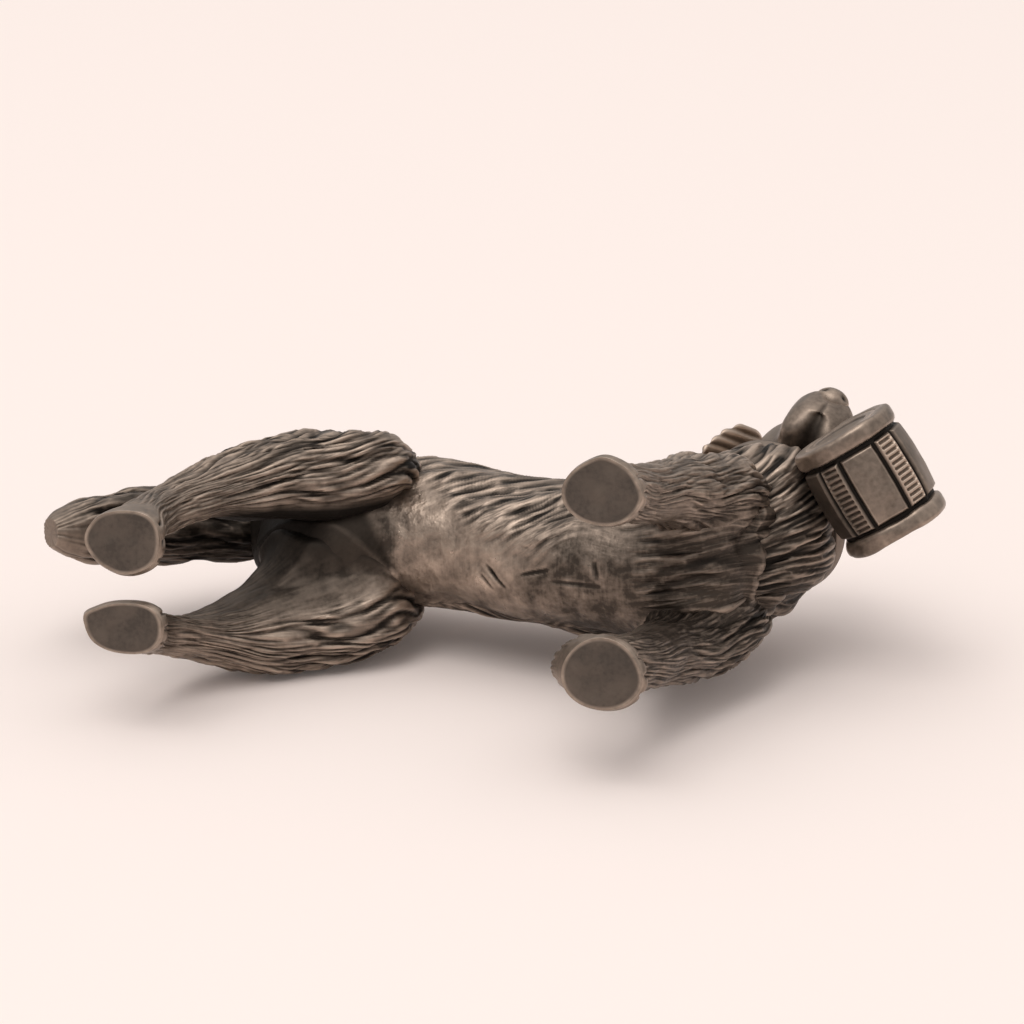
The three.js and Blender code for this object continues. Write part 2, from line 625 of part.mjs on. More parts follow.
// A drop ear: a leaf that hangs straight down from the side of the skull.
function earGeometry(side) {
  const root = new THREE.Vector3(EAR_ROOT_X, (side * SKULL_WIDTH) / 2, EAR_ROOT_RISE);
  root.applyMatrix4(headPlace);
  const outward = Y_AXIS.clone().multiplyScalar(side).applyAxisAngle(Z_AXIS, HEAD_TURN);
  const forward = X_AXIS.clone().applyAxisAngle(Z_AXIS, HEAD_TURN);
  const down = outward.clone().multiplyScalar(Math.sin(EAR_FLARE));
  down.addScaledVector(Z_AXIS, -Math.cos(EAR_FLARE));
  const spans = 5;
  const stations = Array.from({ length: spans + 1 }, (_, i) => {
    const share = i / spans;
    const arch = THREE.MathUtils.lerp(EAR_ARCH_START, EAR_ARCH_END, share);
    const leaf = Math.sin(Math.PI * arch) ** EAR_FULLNESS;
    const at = root.clone().addScaledVector(down, EAR_LENGTH * share);
    return station(at.toArray(), (EAR_WIDTH / 2) * leaf, (EAR_THICKNESS / 2) * leaf);
  });
  return loft(stations, { across: forward, up: outward, sides: 16 });
}

// Staves: a bulged barrel with a groove between each two staves, turned so that a stave faces down and out.
// Its own Y is its axis.
function barrelGeometry(grow = 0) {
  const spans = 6;
  const pitch = (2 * Math.PI) / STAVE_COUNT;
  const groove = (share, angle) => {
    const toSeam = Math.abs(angle / pitch - Math.round(angle / pitch)) * POINTS_PER_STAVE;
    return toSeam < 1 / 2 ? -STAVE_GROOVE_DEPTH : 0;
  };
  const stations = Array.from({ length: spans + 1 }, (_, i) => {
    const y = (i / spans - 0.5) * KEG_LENGTH;
    return station([0, y, 0], staveRadius(y), staveRadius(y));
  });
  const sides = STAVE_COUNT * POINTS_PER_STAVE;
  const barrel = loft(stations, { across: X_AXIS, up: Z_AXIS, sides, steps: 1, grow, relief: groove });
  return barrel.rotateY(STAVE_TURN);
}

// An end hoop: a rounded band whose bore follows the staves, flush with the barrel's end.
function hoopGeometry(end, grow = 0) {
  const near = KEG_LENGTH / 2 - HOOP_WIDTH;
  const far = KEG_LENGTH / 2;
  const bore = (y) => staveRadius(y) + SOLDER_GAP - grow;
  const outer = hoopRadius + grow;
  const round = HOOP_THICKNESS / 3;
  const profile = [
    [bore(near), near - grow],
    [outer - round, near - grow],
    [outer, near + round],
    [outer, far - round],
    [outer - round, far + grow],
    [bore(far), far + grow],
    [bore(near), near - grow],
  ].map(([radius, y]) => new THREE.Vector2(radius, end * y));
  return new THREE.LatheGeometry(end > 0 ? profile : profile.reverse(), HOOP_SIDES);
}

// The disc that sinks a keg head below its chime.
function headInset(end) {
  const radius = KEG_END_RADIUS - KEG_CHIME;
  const geometry = new THREE.CylinderGeometry(radius, radius, 2 * KEG_HEAD_INSET, HOOP_SIDES);
  return solid(geometry.translate(0, (end * KEG_LENGTH) / 2, 0));
}

const figurine = new THREE.Group();
const keg = new THREE.Group();
keg.position.copy(kegAt);
keg.rotation.set(KEG_TILT, 0, KEG_TURN, 'ZYX');
keg.updateMatrix();
figurine.add(keg);
const kegInverse = keg.matrix.clone().invert();

// A named mesh of a solid in its parent's frame, in antiqued pewter.
function casting(name, shape, colour = PEWTER, parent = figurine) {
  const cut = mainBody(shape).getMesh();
  const geometry = new THREE.BufferGeometry();
  geometry.setAttribute('position', new THREE.BufferAttribute(new Float32Array(cut.vertProperties), 3));
  geometry.setIndex(new THREE.BufferAttribute(new Uint32Array(cut.triVerts), 1));
  geometry.computeVertexNormals();
  const material = new THREE.MeshStandardMaterial({ color: colour, metalness: 0.85, roughness: 0.5 });
  const piece = new THREE.Mesh(geometry, material);
  piece.name = name;
  parent.add(piece);
}

// What each piece needs clear of its neighbours: the same forms, grown by the solder gap
const inFigurine = (geometry) => solid(geometry.applyMatrix4(keg.matrix));
const kegSpace = inFigurine(barrelGeometry(SOLDER_GAP))
  .add(inFigurine(hoopGeometry(1, SOLDER_GAP)))
  .add(inFigurine(hoopGeometry(-1, SOLDER_GAP)));
const torsoSpace = solid(torsoGeometry(SOLDER_GAP));
const neckSpace = solid(neckGeometry(SOLDER_GAP));
const skullSpace = solid(skullGeometry(SOLDER_GAP));
const collarBand = solid(neckGeometry(SOLDER_GAP + COLLAR_THICKNESS)).intersect(collarSlab());
const collarSpace = solid(neckGeometry(2 * SOLDER_GAP + COLLAR_THICKNESS))
  .intersect(collarSlab(SOLDER_GAP));

let torso = solid(torsoGeometry());

// Legs: cut to the trunk and the ruff, each with a peg up and in from its widest joint
function leg(name, geometry, joint) {
  const inside = new THREE.Vector3(joint.x, joint.y / 2, joint.z + 2 * PEG_DEPTH);
  torso = torso.subtract(socket(joint, inside, PEG_RADIUS));
  const cut = solid(geometry).subtract(torsoSpace).subtract(neckSpace);
  casting(name, cut.add(peg(joint, inside, PEG_RADIUS)));
}
const elbow = (y) => new THREE.Vector3(ELBOW_X, y, ELBOW_Z);
const stifle = (y) => new THREE.Vector3(STIFLE_X, y, STIFLE_Z);
const rightFrontPaw = [RIGHT_FRONT_PAW_LENGTH, RIGHT_FRONT_PAW_WIDTH];
const leftFrontPaw = [LEFT_FRONT_PAW_LENGTH, LEFT_FRONT_PAW_WIDTH];
const rightHindPaw = [RIGHT_HIND_PAW_LENGTH, RIGHT_HIND_PAW_WIDTH];
const leftHindPaw = [LEFT_HIND_PAW_LENGTH, LEFT_HIND_PAW_WIDTH];
const rightFront =
  frontLegGeometry(-1, RIGHT_ELBOW_Y, RIGHT_FRONT_PAW_Y, rightFrontPaw, RIGHT_HEEL_TUFT);
const leftFront = frontLegGeometry(1, LEFT_ELBOW_Y, LEFT_FRONT_PAW_Y, leftFrontPaw, LEFT_HEEL_TUFT);
const rightLine =
  [RIGHT_STIFLE_Y, RIGHT_GASKIN_Y, RIGHT_HOCK_Y, RIGHT_SHANK_Y, RIGHT_PASTERN_Y, RIGHT_HIND_PAW_Y];
const leftLine =
  [LEFT_STIFLE_Y, LEFT_GASKIN_Y, LEFT_HOCK_Y, LEFT_SHANK_Y, LEFT_PASTERN_Y, LEFT_HIND_PAW_Y];
const rightHind = hindLegGeometry(-1, rightLine, rightHindPaw, RIGHT_CROTCH);
const leftHind = hindLegGeometry(1, leftLine, leftHindPaw, LEFT_CROTCH);
leg('right_front_leg', rightFront, elbow(RIGHT_ELBOW_Y));
leg('left_front_leg', leftFront, elbow(LEFT_ELBOW_Y));
leg('right_hind_leg', rightHind, stifle(RIGHT_STIFLE_Y));
leg('left_hind_leg', leftHind, stifle(LEFT_STIFLE_Y));

// Tail, with a peg into the rump
const tailFrom = tailSpine.getPoint(TAIL_PEG_SHARE);
const tailTo = tailSpine.getPoint(0).add(new THREE.Vector3(PEG_DEPTH / 2, 0, 0));
torso = torso.subtract(socket(tailFrom, tailTo, PEG_RADIUS));
casting('tail', solid(tailGeometry()).subtract(torsoSpace).add(peg(tailFrom, tailTo, PEG_RADIUS)));

// Neck, with a peg back from the ruff into the chest
const ruffMiddle = onNeck(RUFF_SHARE);
const neckFrom = ruffMiddle.clone().addScaledVector(neckFront, RUFF_DEPTH / 2 - PEG_DEPTH / 2);
const neckTo = neckFrom.clone().addScaledVector(neckFront, -2 * PEG_DEPTH);
torso = torso.subtract(socket(neckFrom, neckTo, PEG_RADIUS));
const lugSocket = socket(kegAt, collarFront, KEG_LUG_RADIUS);
const neck = solid(neckGeometry()).subtract(torsoSpace).add(peg(neckFrom, neckTo, PEG_RADIUS));
casting('neck_ruff', neck.subtract(kegSpace).subtract(skullSpace).subtract(lugSocket));
casting('torso', torso);

// Head, with nose pad, eyes and lower jaw
const noseX = SKULL_LENGTH + MUZZLE_LENGTH - NOSE_RADIUS / 2;
let head = solid(skullGeometry()).add(solid(jawGeometry()));
head = head.add(headBall(noseX, 0, MUZZLE_RISE / 2, NOSE_RADIUS, NOSE_STRETCH));
for (const side of [-1, 1]) {
  head = head.add(headBall(SKULL_LENGTH, (side * EYE_SPREAD) / 2, EYE_RISE, EYE_RADIUS));
}
casting('head', head.subtract(kegSpace).subtract(torsoSpace), WORN_PEWTER);
for (const [name, side] of [['right_ear', -1], ['left_ear', 1]]) {
  const ear = solid(earGeometry(side)).subtract(skullSpace).subtract(neckSpace);
  casting(name, ear.subtract(torsoSpace).subtract(collarSpace));
}
const collar = collarBand.subtract(neckSpace).subtract(skullSpace).subtract(torsoSpace);
casting('collar', collar.subtract(kegSpace));

// Keg: the barrel's lug reaches back to the collar
const collarInKeg = solid(neckGeometry(2 * SOLDER_GAP + COLLAR_THICKNESS).applyMatrix4(kegInverse));
const lug = peg(new THREE.Vector3(), collarFront.clone().applyMatrix4(kegInverse), KEG_LUG_RADIUS);
const barrel = solid(barrelGeometry()).add(lug.subtract(collarInKeg));
casting('keg_barrel', barrel.subtract(headInset(-1)).subtract(headInset(1)), WORN_PEWTER, keg);
casting('keg_hoop_right', solid(hoopGeometry(-1)), WORN_PEWTER, keg);
casting('keg_hoop_left', solid(hoopGeometry(1)), WORN_PEWTER, keg);

// The origin lies under the middle of the whole figurine, on the surface it stands on
const box = new THREE.Box3().setFromObject(figurine);
const middle = box.getCenter(new THREE.Vector3());
figurine.position.set(-middle.x, -middle.y, -box.min.z);

export default figurine;
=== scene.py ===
"""Looks of a cast-pewter Saint Bernard figurine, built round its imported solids.

Sizes in the classes are millimetres in the animal's own frame: X runs forward, Y to its left and Z up from
the soles. Each sub-assembly repeats its solid as a fine surface and carves the coat into it. The photograph
shows the figurine lying on its left side, so the cloth is a plane beside it and the camera's up is its right.
"""

import itertools
import logging
import math
from dataclasses import dataclass, field, replace
from enum import Enum
from typing import Any, Callable, Sequence

import bpy
import numpy as np
from mathutils import Matrix, Vector


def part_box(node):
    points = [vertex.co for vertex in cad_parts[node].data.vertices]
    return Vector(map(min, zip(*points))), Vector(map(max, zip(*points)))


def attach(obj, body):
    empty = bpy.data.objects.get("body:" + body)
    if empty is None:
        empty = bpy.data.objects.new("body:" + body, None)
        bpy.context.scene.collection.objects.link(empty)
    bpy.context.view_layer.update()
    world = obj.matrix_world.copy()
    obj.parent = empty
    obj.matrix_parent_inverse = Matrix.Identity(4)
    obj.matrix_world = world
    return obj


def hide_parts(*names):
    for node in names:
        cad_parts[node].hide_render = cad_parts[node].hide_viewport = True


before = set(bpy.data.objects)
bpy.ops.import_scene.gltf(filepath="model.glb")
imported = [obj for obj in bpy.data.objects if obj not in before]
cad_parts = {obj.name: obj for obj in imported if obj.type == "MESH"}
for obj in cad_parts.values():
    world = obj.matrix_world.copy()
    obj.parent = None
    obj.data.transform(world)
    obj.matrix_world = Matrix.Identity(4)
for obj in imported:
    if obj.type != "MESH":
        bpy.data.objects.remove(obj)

Array = np.ndarray
Relief = Callable[[Array, Array], Array]
Triple = tuple[float, float, float]

LOG = logging.getLogger("figurine")
MM = 0.001
TURN = 2.0 * math.pi
X_AXIS = np.array((1.0, 0.0, 0.0))
Y_AXIS = np.array((0.0, 1.0, 0.0))
Z_AXIS = np.array((0.0, 0.0, 1.0))


def unit(vectors: Array) -> Array:
    """Vectors scaled to length one."""
    return vectors / np.maximum(np.linalg.norm(vectors, axis=-1, keepdims=True), 1e-9)


def ease(low: float, high: float, value: Array) -> Array:
    """Smooth step from 0 at low to 1 at high: 3t^2 - 2t^3 of the clipped share t."""
    share = np.clip((value - low) / (high - low), 0.0, 1.0)
    return share * share * (3.0 - 2.0 * share)


def hump(middle: float, spread: float, value: Array) -> Array:
    """Bell curve that is 1 at the middle: e to minus the squared distance over the spread."""
    return np.exp(-(((value - middle) / spread) ** 2))


def wrapped(angle: Array) -> Array:
    """Angles brought into the half turn on either side of 0."""
    return (angle + math.pi) % TURN - math.pi


def turns(count: int) -> Array:
    """Angles at even steps round a full turn."""
    return np.arange(count) * TURN / count


def rounded(value: Array, power: float) -> Array:
    """The size of a value raised to a power, with its sign kept."""
    return np.sign(value) * np.abs(value) ** power


def turned(vector: Array, axis: Array, angle: float) -> Array:
    """A vector turned about a unit axis by Rodrigues' formula."""
    flat = vector * math.cos(angle) + np.cross(axis, vector) * math.sin(angle)
    return flat + axis * np.dot(axis, vector) * (1.0 - math.cos(angle))


def scatter(*cells: Array, seed: int = 0) -> Array:
    """Even numbers from 0 to 1 for whole-number cells, the same in every run.

    Each cell number is multiplied by a large odd number and its bits are folded into the sum so far.

    Args:
        cells: Arrays of whole numbers that broadcast together.
        seed: Picks another set of numbers.

    Returns:
        One number for each cell.
    """
    shape = np.broadcast(*cells).shape
    mixed = np.full(shape, 1000003 * (seed + 1), np.uint64)
    for cell in cells:
        whole = np.broadcast_to(np.asarray(cell), shape).astype(np.int64).astype(np.uint64)
        mixed = (mixed ^ (whole * np.uint64(0x9E3779B97F4A7C15))) * np.uint64(0xBF58476D1CE4E5B9)
        mixed = mixed ^ (mixed >> np.uint64(31))
    return (mixed >> np.uint64(40)).astype(float) / float(1 << 24)


def mottle(points: Array, size: float, seed: int = 0) -> Array:
    """Smooth noise from -1 to 1: random corner values of a cubic lattice, blended by smooth steps.

    Args:
        points: Places, three numbers each.
        size: Side of a lattice cell.
        seed: Picks another noise.

    Returns:
        One value for each place.
    """
    place = points / size
    base = np.floor(place)
    part = ease(0.0, 1.0, place - base)
    total = np.zeros(points.shape[:-1])
    for corner in itertools.product((0, 1), repeat=3):
        weight = np.prod(np.where(np.array(corner) == 1, part, 1.0 - part), axis=-1)
        total += weight * scatter(*np.moveaxis(base + np.array(corner), -1, 0), seed=seed)
    return 2.0 * total - 1.0


def through(points: Array, shares: Array) -> Array:
    """A smooth curve through points: uniform Catmull-Rom cubics, with the end points mirrored past the ends.

    Args:
        points: Rows to pass through, at even steps.
        shares: Places from 0 to 1 along the curve.

    Returns:
        One row for each share.
    """
    padded = np.vstack([2 * points[0] - points[1], points, 2 * points[-1] - points[-2]])
    place = np.clip(shares, 0.0, 1.0) * (len(points) - 1)
    first = np.minimum(place.astype(int), len(points) - 2)
    f = (place - first)[..., None]
    a, b, c, d = (padded[first + k] for k in range(4))
    return 0.5 * (2 * b + (c - a) * f + (2 * a - 5 * b + 4 * c - d) * f**2 + (3 * b - a - 3 * c + d) * f**3)


@dataclass
class Skin:
    """A grid of points that closes round its columns, with numbers noted on each point.

    Attributes:
        points: Rows by columns by three.
        share: Share of the run of each row, as a column.
        angle: Angle of each column, as a row.
        notes: Named values for the finish, one for each point.
        hair: Places in the coat's own frame, with the third number along the hair, or nothing where bare.
    """

    points: Array
    share: Array
    angle: Array
    notes: dict[str, Array] = field(default_factory=dict)
    hair: Array | None = None

    def normals(self) -> Array:
        """Outward unit normals: the cross product of the steps round and along the grid."""
        along = np.gradient(self.points, axis=0)
        ring = np.concatenate([self.points[:, -1:], self.points, self.points[:, :1]], axis=1)
        normal = unit(np.cross(ring[:, 2:] - ring[:, :-2], along))
        outward = self.points - self.points.mean(axis=1, keepdims=True)
        return normal if np.sum(normal * outward) > 0 else -normal

    def along(self) -> Array:
        """Distance of each row from the first, along the middles of the rows, as a column."""
        middles = self.points.mean(axis=1)
        steps = np.linalg.norm(np.diff(middles, axis=0), axis=1)
        return np.concatenate([[0.0], np.cumsum(steps)])[:, None]

    def girth(self) -> Array:
        """Mean radius of each row, as a column."""
        middles = self.points.mean(axis=1, keepdims=True)
        return np.linalg.norm(self.points - middles, axis=-1).mean(axis=1, keepdims=True)

    def ridge(self, reach: int = 2) -> Array:
        """How far each point stands out of the mean of its neighbours a few steps away, along its normal."""
        rows = np.pad(self.points, ((reach, reach), (0, 0), (0, 0)), mode="edge")
        around = np.roll(self.points, reach, axis=1) + np.roll(self.points, -reach, axis=1)
        mean = (rows[: -2 * reach] + rows[2 * reach :] + around) / 4.0
        return np.sum((self.points - mean) * self.normals(), axis=-1)

    def push(self, height: Array) -> None:
        """Moves each point along its normal by a height."""
        self.points = self.points + self.normals() * np.broadcast_to(height, self.points.shape[:2])[..., None]

    def sink(self, depth: float, share: Array, ink: float = 1.0) -> None:
        """Carves a share of a depth and notes the groove that it leaves."""
        self.push(-depth * share)
        self.note("groove", ink * share)

    def note(self, name: str, values: Array) -> None:
        """Keeps the larger of the noted and the new values, from 0 to 1."""
        new = np.clip(np.broadcast_to(values, self.points.shape[:2]), 0.0, 1.0)
        self.notes[name] = np.maximum(self.notes.get(name, np.zeros_like(new)), new)

    def cap(self, rings: int) -> None:
        """Closes the last row with a flat disc: rings that shrink evenly to its middle.

        Args:
            rings: How many rings the disc gets.
        """
        middle = self.points[-1].mean(axis=0)
        shrink = np.concatenate([[0.985], np.linspace(0.95, 0.02, rings - 1)])[:, None, None]
        disc = middle + (self.points[-1] - middle) * shrink
        self.points = np.concatenate([self.points, disc], axis=0)
        self.share = np.concatenate([self.share, np.full((rings, 1), self.share[-1, 0])])
        more = lambda values: np.concatenate([values, np.repeat(values[-1:], rings, axis=0)], axis=0)
        self.notes = {name: more(values) for name, values in self.notes.items()}
        self.hair = None if self.hair is None else more(self.hair)


@dataclass(frozen=True)
class Station:
    """A section of a loft: its middle and its half sizes across, above and below."""

    at: Triple
    half: float
    above: float
    below: float | None = None


@dataclass
class Loft:
    """A run of superellipse sections whose middles and sizes follow smooth curves.

    Attributes:
        stations: Sections at even steps of the run.
        across: Direction of a section's angle 0.
        up: Direction of a section's quarter turn.
        squareness: Power of the superellipse, 2 for an ellipse.
    """

    stations: Sequence[Station]
    across: Array
    up: Array
    squareness: float = 2.0

    def gap(self, points: Array) -> tuple[Array, Array]:
        """Distance of places from the loft, and the directions away from its middle line.

        In the section through a place, r is the power mean of the shares of the half sizes that the place is
        out by; the distance along the ray from the section's middle is then its length times 1 - 1 / r.

        Args:
            points: Places to test.

        Returns:
            Distances, below 0 inside, and unit directions.
        """
        run = np.cross(self.across, self.up)
        table = np.linspace(0.0, 1.0, 400)
        runs = self.middles(table) @ run
        run, runs = (run, runs) if runs[-1] > runs[0] else (-run, -runs)
        place = points @ run
        share = np.interp(place, runs, table)
        size = self.sizes(share)
        ray = points - self.middles(share)
        wide, tall = ray @ self.across, ray @ self.up
        limit = np.where(tall > 0, size[..., 1], size[..., 2])
        ratio = (np.abs(wide) / size[..., 0]) ** self.squareness + (np.abs(tall) / limit) ** self.squareness
        ratio = np.maximum(ratio, 1e-6) ** (1.0 / self.squareness)
        beyond = np.maximum(np.maximum(runs[0] - place, place - runs[-1]), 0.0)
        return np.hypot(wide, tall) * (1.0 - 1.0 / ratio) + beyond, unit(ray)

    def middles(self, shares: Array) -> Array:
        """Middles of the sections at shares of the run."""
        return through(np.array([s.at for s in self.stations], float), shares)

    def sizes(self, shares: Array) -> Array:
        """Half sizes across, above and below at shares of the run."""
        rows = [(s.half, s.above, s.above if s.below is None else s.below) for s in self.stations]
        return through(np.array(rows, float), shares)

    def skin(self, rows: int, columns: int, relief: Relief | None = None) -> Skin:
        """The loft as a grid: middle + across * c * half + up * s * (above or below).

        Here c and s are the cosine and sine of the angle, raised to 2 / squareness with their signs kept.

        Args:
            rows: Rows along the run.
            columns: Columns round each section.
            relief: What to add to the half sizes, from the share of the run and the angle.

        Returns:
            The grid of points.
        """
        share = np.linspace(0.0, 1.0, rows)[:, None]
        angle = turns(columns)[None, :]
        middle, size = self.middles(share[:, 0]), self.sizes(share[:, 0])
        extra = np.zeros((rows, columns)) if relief is None else relief(share, angle)
        c, s = (rounded(side(angle), 2.0 / self.squareness) for side in (np.cos, np.sin))
        rise = np.where(s > 0, size[:, 1:2], size[:, 2:3]) + extra
        points = middle[:, None, :] + (c * (size[:, :1] + extra))[..., None] * self.across
        return Skin(points + (s * rise)[..., None] * self.up, share, angle)


@dataclass(frozen=True)
class Strokes:
    """Carved hair: grooves in lanes side by side, each tapered at both ends.

    Attributes:
        pitch: Width of a lane.
        length: Length of a groove.
        depth: Depth of the deepest groove.
        width: Share of the lane that a groove takes.
        fill: Share of the places that hold a groove.
        sway: How far the lanes wave to the side.
        sway_length: Length of one wave.
        lanes: Lanes in a full turn, or 0 where the lanes don't close on themselves.
        ink: How dark the grooves are noted.
        seed: Picks another set of grooves.
    """

    pitch: float
    length: float
    depth: float
    width: float = 0.7
    fill: float = 0.9
    sway: float = 0.3
    sway_length: float = 8.0
    lanes: int = 0
    ink: float = 1.0
    seed: int = 1

    def carve(self, along: Array, across: Array) -> Array:
        """How deep the carving goes at each place, from 0 to 1.

        Each lane is cut into cells with a random start. In a cell the groove falls off smoothly to both sides
        of a line with a random shift and slant, times a power of the sine of the share of the cell's length.

        Args:
            along: Distance along the hair.
            across: Distance across the hair.

        Returns:
            The depth, as a share of the deepest groove.
        """
        total = np.zeros(np.broadcast(along, across).shape)
        wave = TURN / (self.lanes * self.pitch) * 3.0 if self.lanes else 0.7
        for layer in range(2):
            seed = self.seed * 101 + layer * 7
            phase = TURN * along / self.sway_length + 1.4 * np.sin(wave * across + seed)
            place = (across + self.sway * np.sin(phase)) / self.pitch + layer / 2.0
            lane = np.floor(place)
            side = place - lane - 0.5
            lane = np.mod(lane, self.lanes) if self.lanes else lane
            run = along / self.length + 5.0 * scatter(lane, seed=seed)
            cell = np.floor(run)
            part = run - cell
            draw = [scatter(lane, cell, seed=seed + k) for k in range(1, 5)]
            line = (draw[0] - 0.5) * 0.4 + (draw[1] - 0.5) * 0.5 * (part - 0.5)
            groove = 1.0 - ease(0.0, 1.0, np.abs(side - line) / (self.width / 2.0))
            groove = groove * np.sin(np.pi * part) ** 0.6 * (0.45 + 0.55 * draw[2]) * (draw[3] < self.fill)
            total = np.maximum(total, groove)
        return total

    def round(self, skin: Skin, mask: Array | float = 1.0, twist: float = 0.0) -> None:
        """Carves a skin along its run, with the lanes spread round each section.

        Args:
            skin: The grid to carve.
            mask: Share of the depth at each point.
            twist: Lanes that the hair drifts round for each millimetre of the run.
        """
        along = skin.along()
        across = (skin.angle / TURN * self.lanes + twist * along) * self.pitch
        radius = self.lanes * self.pitch / TURN
        skin.hair = np.stack([radius * np.cos(across / radius), radius * np.sin(across / radius),
                              along + 0.0 * across], axis=-1)
        self.cut(skin, along, across, mask)

    def cut(self, skin: Skin, along: Array, across: Array, mask: Array | float = 1.0) -> None:
        """Carves a skin with the hair's own distances given, raises the hair between, and notes the grooves.

        Args:
            skin: The grid to carve.
            along: Distance along the hair at each point.
            across: Distance across the hair at each point.
            mask: Share of the depth at each point.
        """
        groove = self.carve(along, across) * mask
        skin.push(self.depth * (0.35 * mask - groove))
        skin.note("groove", self.ink * groove)
        skin.note("coat", mask)


def locks(count: int, end: float, depth: float = 0.22, fade: float = 0.1) -> Relief:
    """Flutes along a loft like the solids' locks: depth * strength * cos(count * angle), fading by a share."""
    return lambda share, angle: depth * np.clip((end - share) / (1 - end + fade), 0, 1) * np.cos(count * angle)


def nick(points: Array, start: Triple, end: Triple, width: float) -> Array:
    """A straight tool cut: 1 on the line between two places, falling to 0 at half the width to its side.

    Args:
        points: Places to test.
        start: One end of the cut.
        end: The other end.
        width: Width of the cut.

    Returns:
        The share of the cut's depth at each place, tapered towards its ends.
    """
    a, run = np.array(start), np.array(end) - np.array(start)
    share = np.clip(((points - a) @ run) / (run @ run), 0.0, 1.0)
    away = np.linalg.norm(points - a - share[..., None] * run, axis=-1)
    return np.clip(1.0 - away / (width / 2.0), 0.0, 1.0) * (0.35 + 0.65 * np.sin(np.pi * share))


@dataclass(frozen=True)
class Spot:
    """A place where the coat is made brighter or darker, with the radius it fades over."""

    at: Triple
    radius: float
    strength: float


@dataclass(frozen=True)
class WearAndLight:
    """How rubbed the casting is from place to place, with painted light on the right side, which faces the lamp,
    and painted shade in the crotch, under the tail and on the left side near the cloth.

    Attributes:
        level: Wear where no spot reaches.
        spots: Places that are rubbed more or less, and places of painted light and painted shade.
        grain: Share that the noise adds or takes.
    """

    level: float = 0.44
    grain: float = 0.12
    spots: tuple[Spot, ...] = (
        # Rubbed brighter on the belly, partly a painted highlight.
        Spot((-2.5, 1.2, 19.5), 5.0, 0.36),
        # Painted light on the right flank, shoulder and thigh, which face the lamp.
        Spot((2.0, -6.0, 26.0), 8.0, 0.02),
        Spot((15.5, -7.5, 25.0), 6.0, 0.5),
        Spot((-13.0, -9.0, 25.0), 7.0, 0.22),
        # Patina with painted shade in the crotch, in the cavity under the tail root and under the tail.
        Spot((-14.5, 1.0, 22.5), 6.5, -0.4),
        Spot((-20.0, 0.5, 25.5), 4.5, -0.7),
        Spot((-26.0, -0.5, 24.0), 5.5, -0.35),
        # Darker on the belly's front, on the chest and on the left foreleg.
        Spot((7.0, 2.5, 17.8), 5.0, -0.26),
        Spot((20.0, 1.5, 22.0), 7.0, -0.5),
        Spot((16.0, 2.0, 18.0), 5.0, -0.34),
        Spot((14.0, 6.5, 10.0), 7.0, -0.3),
        Spot((-33.0, -1.5, 15.0), 4.0, -0.12),
        # Painted light by the right ear, which faces the lamp.
        Spot((12.5, -4.5, 37.0), 2.8, 0.36),
        # Painted shade on the left underside of the trunk, near the cloth.
        Spot((0.0, 6.5, 22.5), 4.5, -0.4),
        Spot((9.0, 7.0, 21.0), 4.5, -0.3),
        Spot((21.0, -8.5, 33.5), 3.0, -0.3),
    )

    def at(self, points: Array) -> Array:
        """Wear with its painted light and shade, from 0 to 1: the level, plus each spot times a bell curve of the
        distance, plus noise.
        """
        total = np.full(points.shape[:-1], self.level)
        for spot in self.spots:
            away = np.linalg.norm(points - np.array(spot.at), axis=-1)
            total += spot.strength * np.exp(-((away / spot.radius) ** 2))
        return np.clip(total + self.grain * (mottle(points, 2.6, 5) + 0.6 * mottle(points, 0.9, 6)), 0.0, 1.0)


class Sock:
    """A node socket that takes part in Python sums."""

    def __init__(self, tree: bpy.types.NodeTree, socket: bpy.types.NodeSocket) -> None:
        """Keeps the tree and the socket."""
        self.tree, self.socket = tree, socket

    def math(self, operation: str, *others: Any, swap: bool = False) -> "Sock":
        """Adds a Math node of this value and others.

        Args:
            operation: The Math node's operation.
            others: Further values or sockets.
            swap: Whether the others come first.

        Returns:
            The node's value.
        """
        node = self.tree.nodes.new("ShaderNodeMath")
        node.operation = operation
        values = [*others, self] if swap else [self, *others]
        for slot, value in zip(node.inputs, values):
            if isinstance(value, Sock):
                self.tree.links.new(value.socket, slot)
            else:
                slot.default_value = value
        return Sock(self.tree, node.outputs[0])

    def __add__(self, other: Any) -> "Sock":
        """Sum."""
        return self.math("ADD", other)

    def __sub__(self, other: Any) -> "Sock":
        """Difference."""
        return self.math("SUBTRACT", other)

    def __rsub__(self, other: Any) -> "Sock":
        """Difference from a number."""
        return self.math("SUBTRACT", other, swap=True)

    def __mul__(self, other: Any) -> "Sock":
        """Product."""
        return self.math("MULTIPLY", other)

    __radd__ = __add__
    __rmul__ = __mul__

    def clip(self) -> "Sock":
        """The value held between 0 and 1."""
        return self.math("MAXIMUM", 0.0).math("MINIMUM", 1.0)


